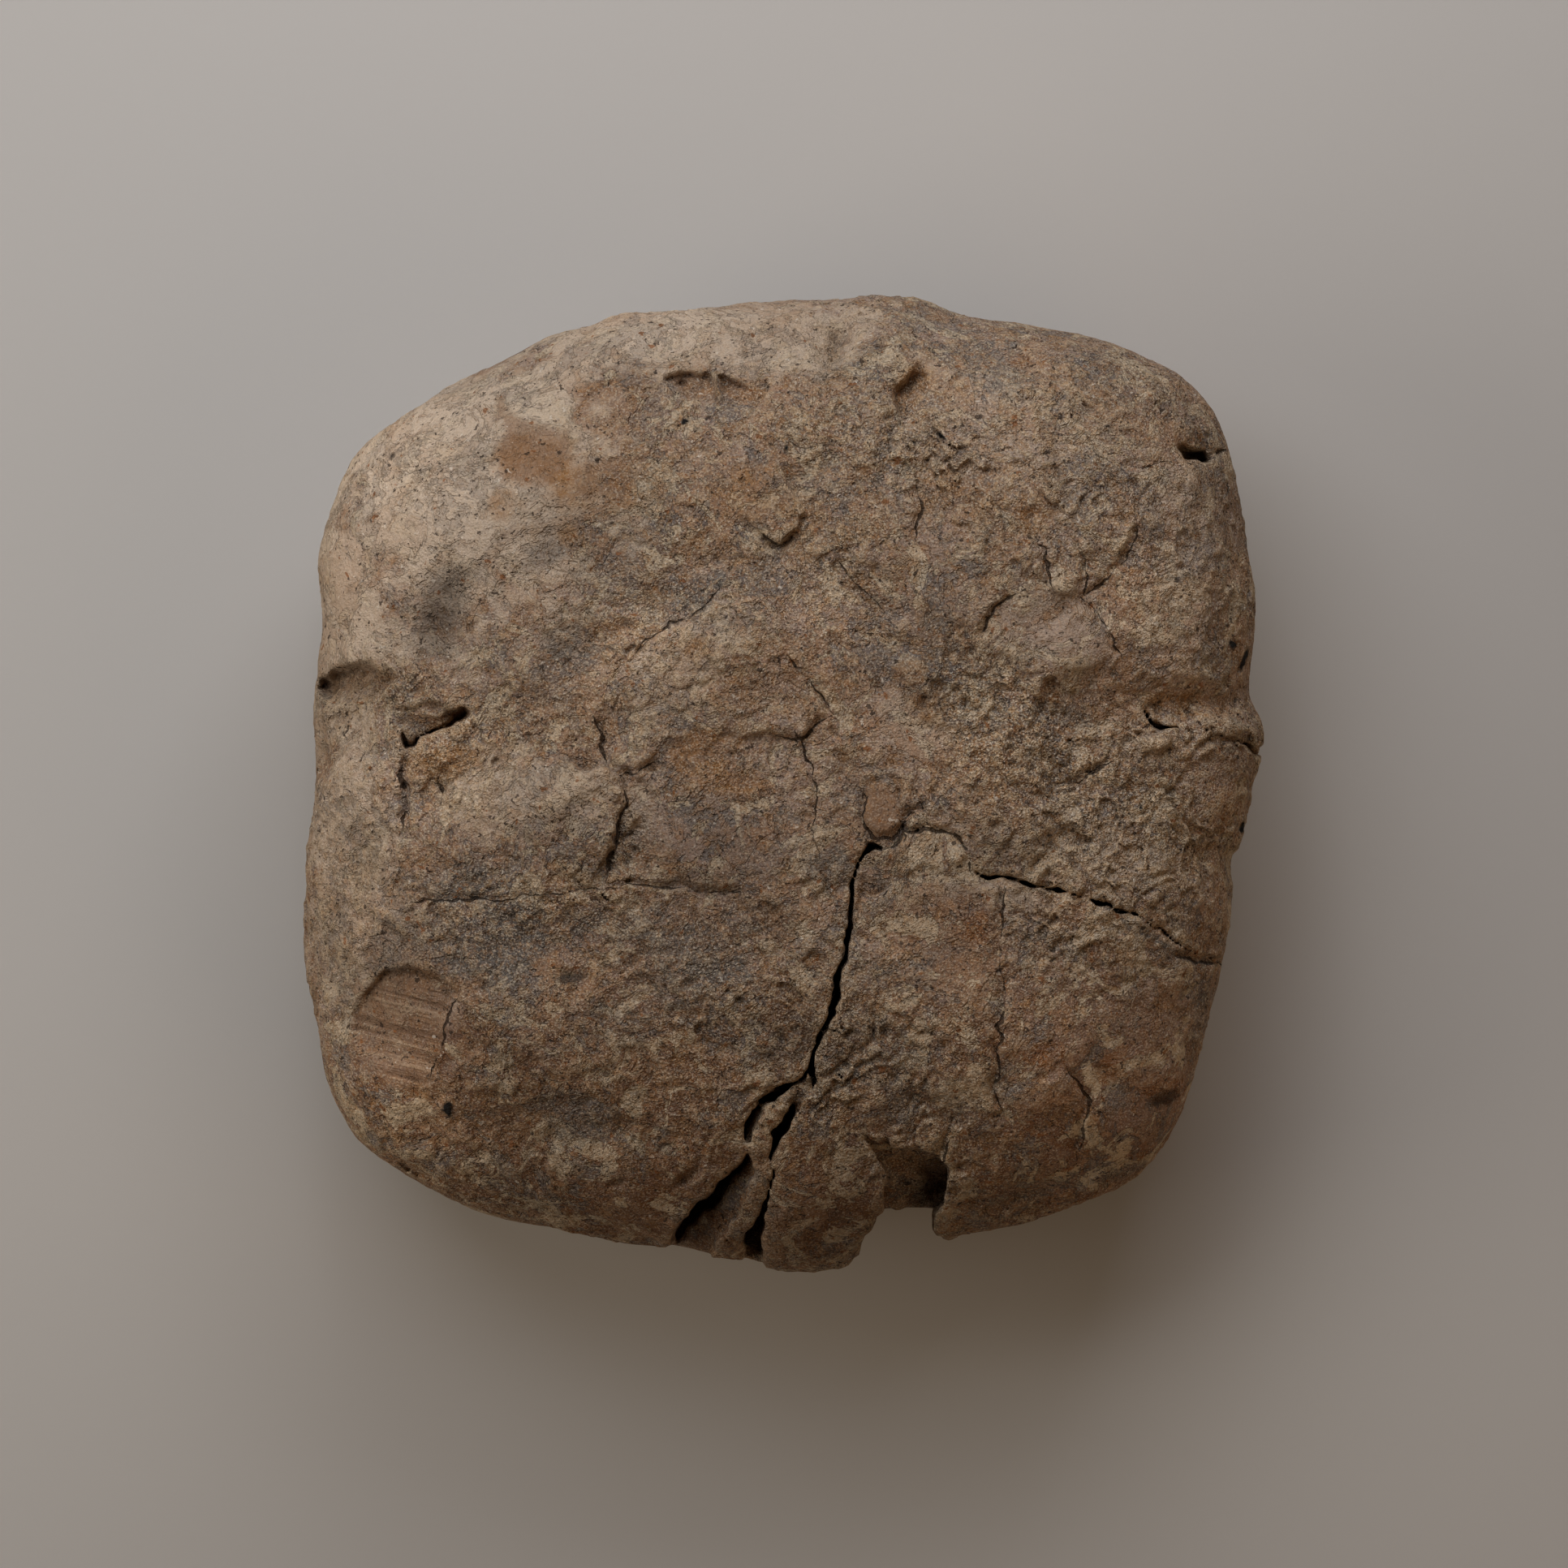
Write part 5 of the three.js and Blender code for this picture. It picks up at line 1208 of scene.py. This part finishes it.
# %% The slits
# Half width less the distance from the line, broken up by noise so that the slit opens and closes. It is painted
# near black, as painted shade inside the crack, and sunk by the bump.
jagged = product(maths("SUBTRACT", noise(0.5, 4.0, 0.7), 0.5), 0.32)
from_slit = maths("ABSOLUTE", maths("ADD", slit_side, jagged), 0)
open_here = product(slit_half, ramp(noise(1.8, 3.0), 0.4, 0.56, -0.3, 1.7))
slit = product(ramp(maths("SUBTRACT", from_slit, open_here), 0.03, -0.03), ramp(slit_near, 0.34, 0.24))
colour = coat(colour, "#24180F", slit, 0.8)
# The whole colour is scaled by the tone weight: paler or darker clay, partly painted light and shade.
tone_and_painted_light = stored("tone_and_painted_light", "Fac")
toned = add_node(tree, "ShaderNodeVectorMath", {"operation": "SCALE"}, Vector=colour, Scale=tone_and_painted_light).outputs[0]
tree.links.new(toned, shader.inputs["Base Color"])
print(f"{len(tree.nodes)} nodes in the clay")

# %% The clay's finest relief
# The patches' own edges, creases of 1.6 mm, grit of 0.5 mm, grain of 0.13 mm, the blade's streaks and the slits.
RELIEF_UNIT = 0.6 * MM  # height of 1 in the sums below

ridged = {"Scale": per_metre(1.6), "Detail": 4.0, "Roughness": 0.6, "Offset": 0.9, "Gain": 1.6}
folds = {"noise_type": "RIDGED_MULTIFRACTAL"}
crease = add_node(tree, "ShaderNodeTexNoise", folds, Vector=place, **ridged).outputs["Fac"]
creased = product(crease, maths("ADD", product(crumbled, 0.22), 0.05))
grit = maths("ADD", product(noise(0.5, 2.0, 0.75), 0.6), product(fine_grain, 0.3))
grit = product(grit, maths("ADD", product(crumbled, 0.8), 0.4))
relief = maths("SUBTRACT", grit, creased)
relief = maths("ADD", relief, product(maths("SUBTRACT", tan, smoky), 0.2))
relief = maths("SUBTRACT", relief, product(maths("ADD", limy, iron), 0.13))
smooth_here = maths("SUBTRACT", 1.0, product(film, 0.7))
relief = maths("ADD", product(relief, smooth_here), product(streaks, bladed, 0.5))
relief = maths("SUBTRACT", relief, product(slit, 1.2))
bump = add_node(tree, "ShaderNodeBump", Strength=1.0, Distance=RELIEF_UNIT, Height=relief)
tree.links.new(bump.outputs[0], shader.inputs["Normal"])

clay.data.materials.clear()
clay.data.materials.append(dry_clay)
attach(clay, "root")
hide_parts("tablet")
print("clay_body stands for the tablet")

# %% [markdown]
# ## Floor and light
# A plain pale floor and soft light. Three soft lights stand in an arc from the left to the top, low enough to rake
# the face and close enough to fade towards the lower right. A warmer one on the other side and a faint even light
# keep the shadows from going black.

# %% Floor
floor_mesh = bpy.data.meshes.new("floor")
FLOOR_HALF = 2  # metres
floor_corners = [(x * FLOOR_HALF, y * FLOOR_HALF, 0) for x, y in ((-1, -1), (1, -1), (1, 1), (-1, 1))]
floor_mesh.from_pydata(floor_corners, [], [(0, 1, 2, 3)])
floor_object = bpy.data.objects.new("floor", floor_mesh)
bpy.context.scene.collection.objects.link(floor_object)
floor_paint = bpy.data.materials.new("matt_board")
floor_paint.use_nodes = True
paper = floor_paint.node_tree.nodes["Principled BSDF"].inputs
paper["Base Color"].default_value, paper["Roughness"].default_value = linear("#C9C6C1"), 0.9
floor_mesh.materials.append(floor_paint)

# %% Light
KEY_AT = (-0.075, 0.12, 0.185)  # metres from the middle of the tablet


def area_light(name, at, size, watts, colour_hex):
    """A square light that faces the tablet."""
    data = bpy.data.lights.new(name, "AREA")
    data.size, data.energy, data.color = size, watts, linear(colour_hex)[:3]
    light = bpy.data.objects.new(name, data)
    light.location = at
    away = np.array(at) / np.linalg.norm(at)
    light.rotation_euler = (np.arccos(away[2]), 0, np.arctan2(away[1], away[0]) + np.pi / 2)
    bpy.context.scene.collection.objects.link(light)


# Name, place in metres from the middle of the tablet, side in metres, watts, colour.
for light in (
    ("key", KEY_AT, 0.15, 0.165, "#F8F9FF"),
    ("from_the_top", (0.03, 0.2, 0.13), 0.15, 0.222, "#FBFBFF"),
    ("from_the_left", (-0.22, -0.02, 0.13), 0.15, 0.155, "#FFF3E4"),
    ("fill", (0.24, -0.14, 0.2), 0.25, 0.16, "#FFDBB4"),
):
    area_light(*light)
world = bpy.data.worlds.new("room")
world.use_nodes = True
air = world.node_tree.nodes["Background"].inputs
air["Color"].default_value, air["Strength"].default_value = linear("#FFD9B0"), 0.015
bpy.context.scene.world = world
bpy.context.scene.view_settings.view_transform = "Standard"
print("key light", np.round(np.linalg.norm(KEY_AT), 3), "m away")
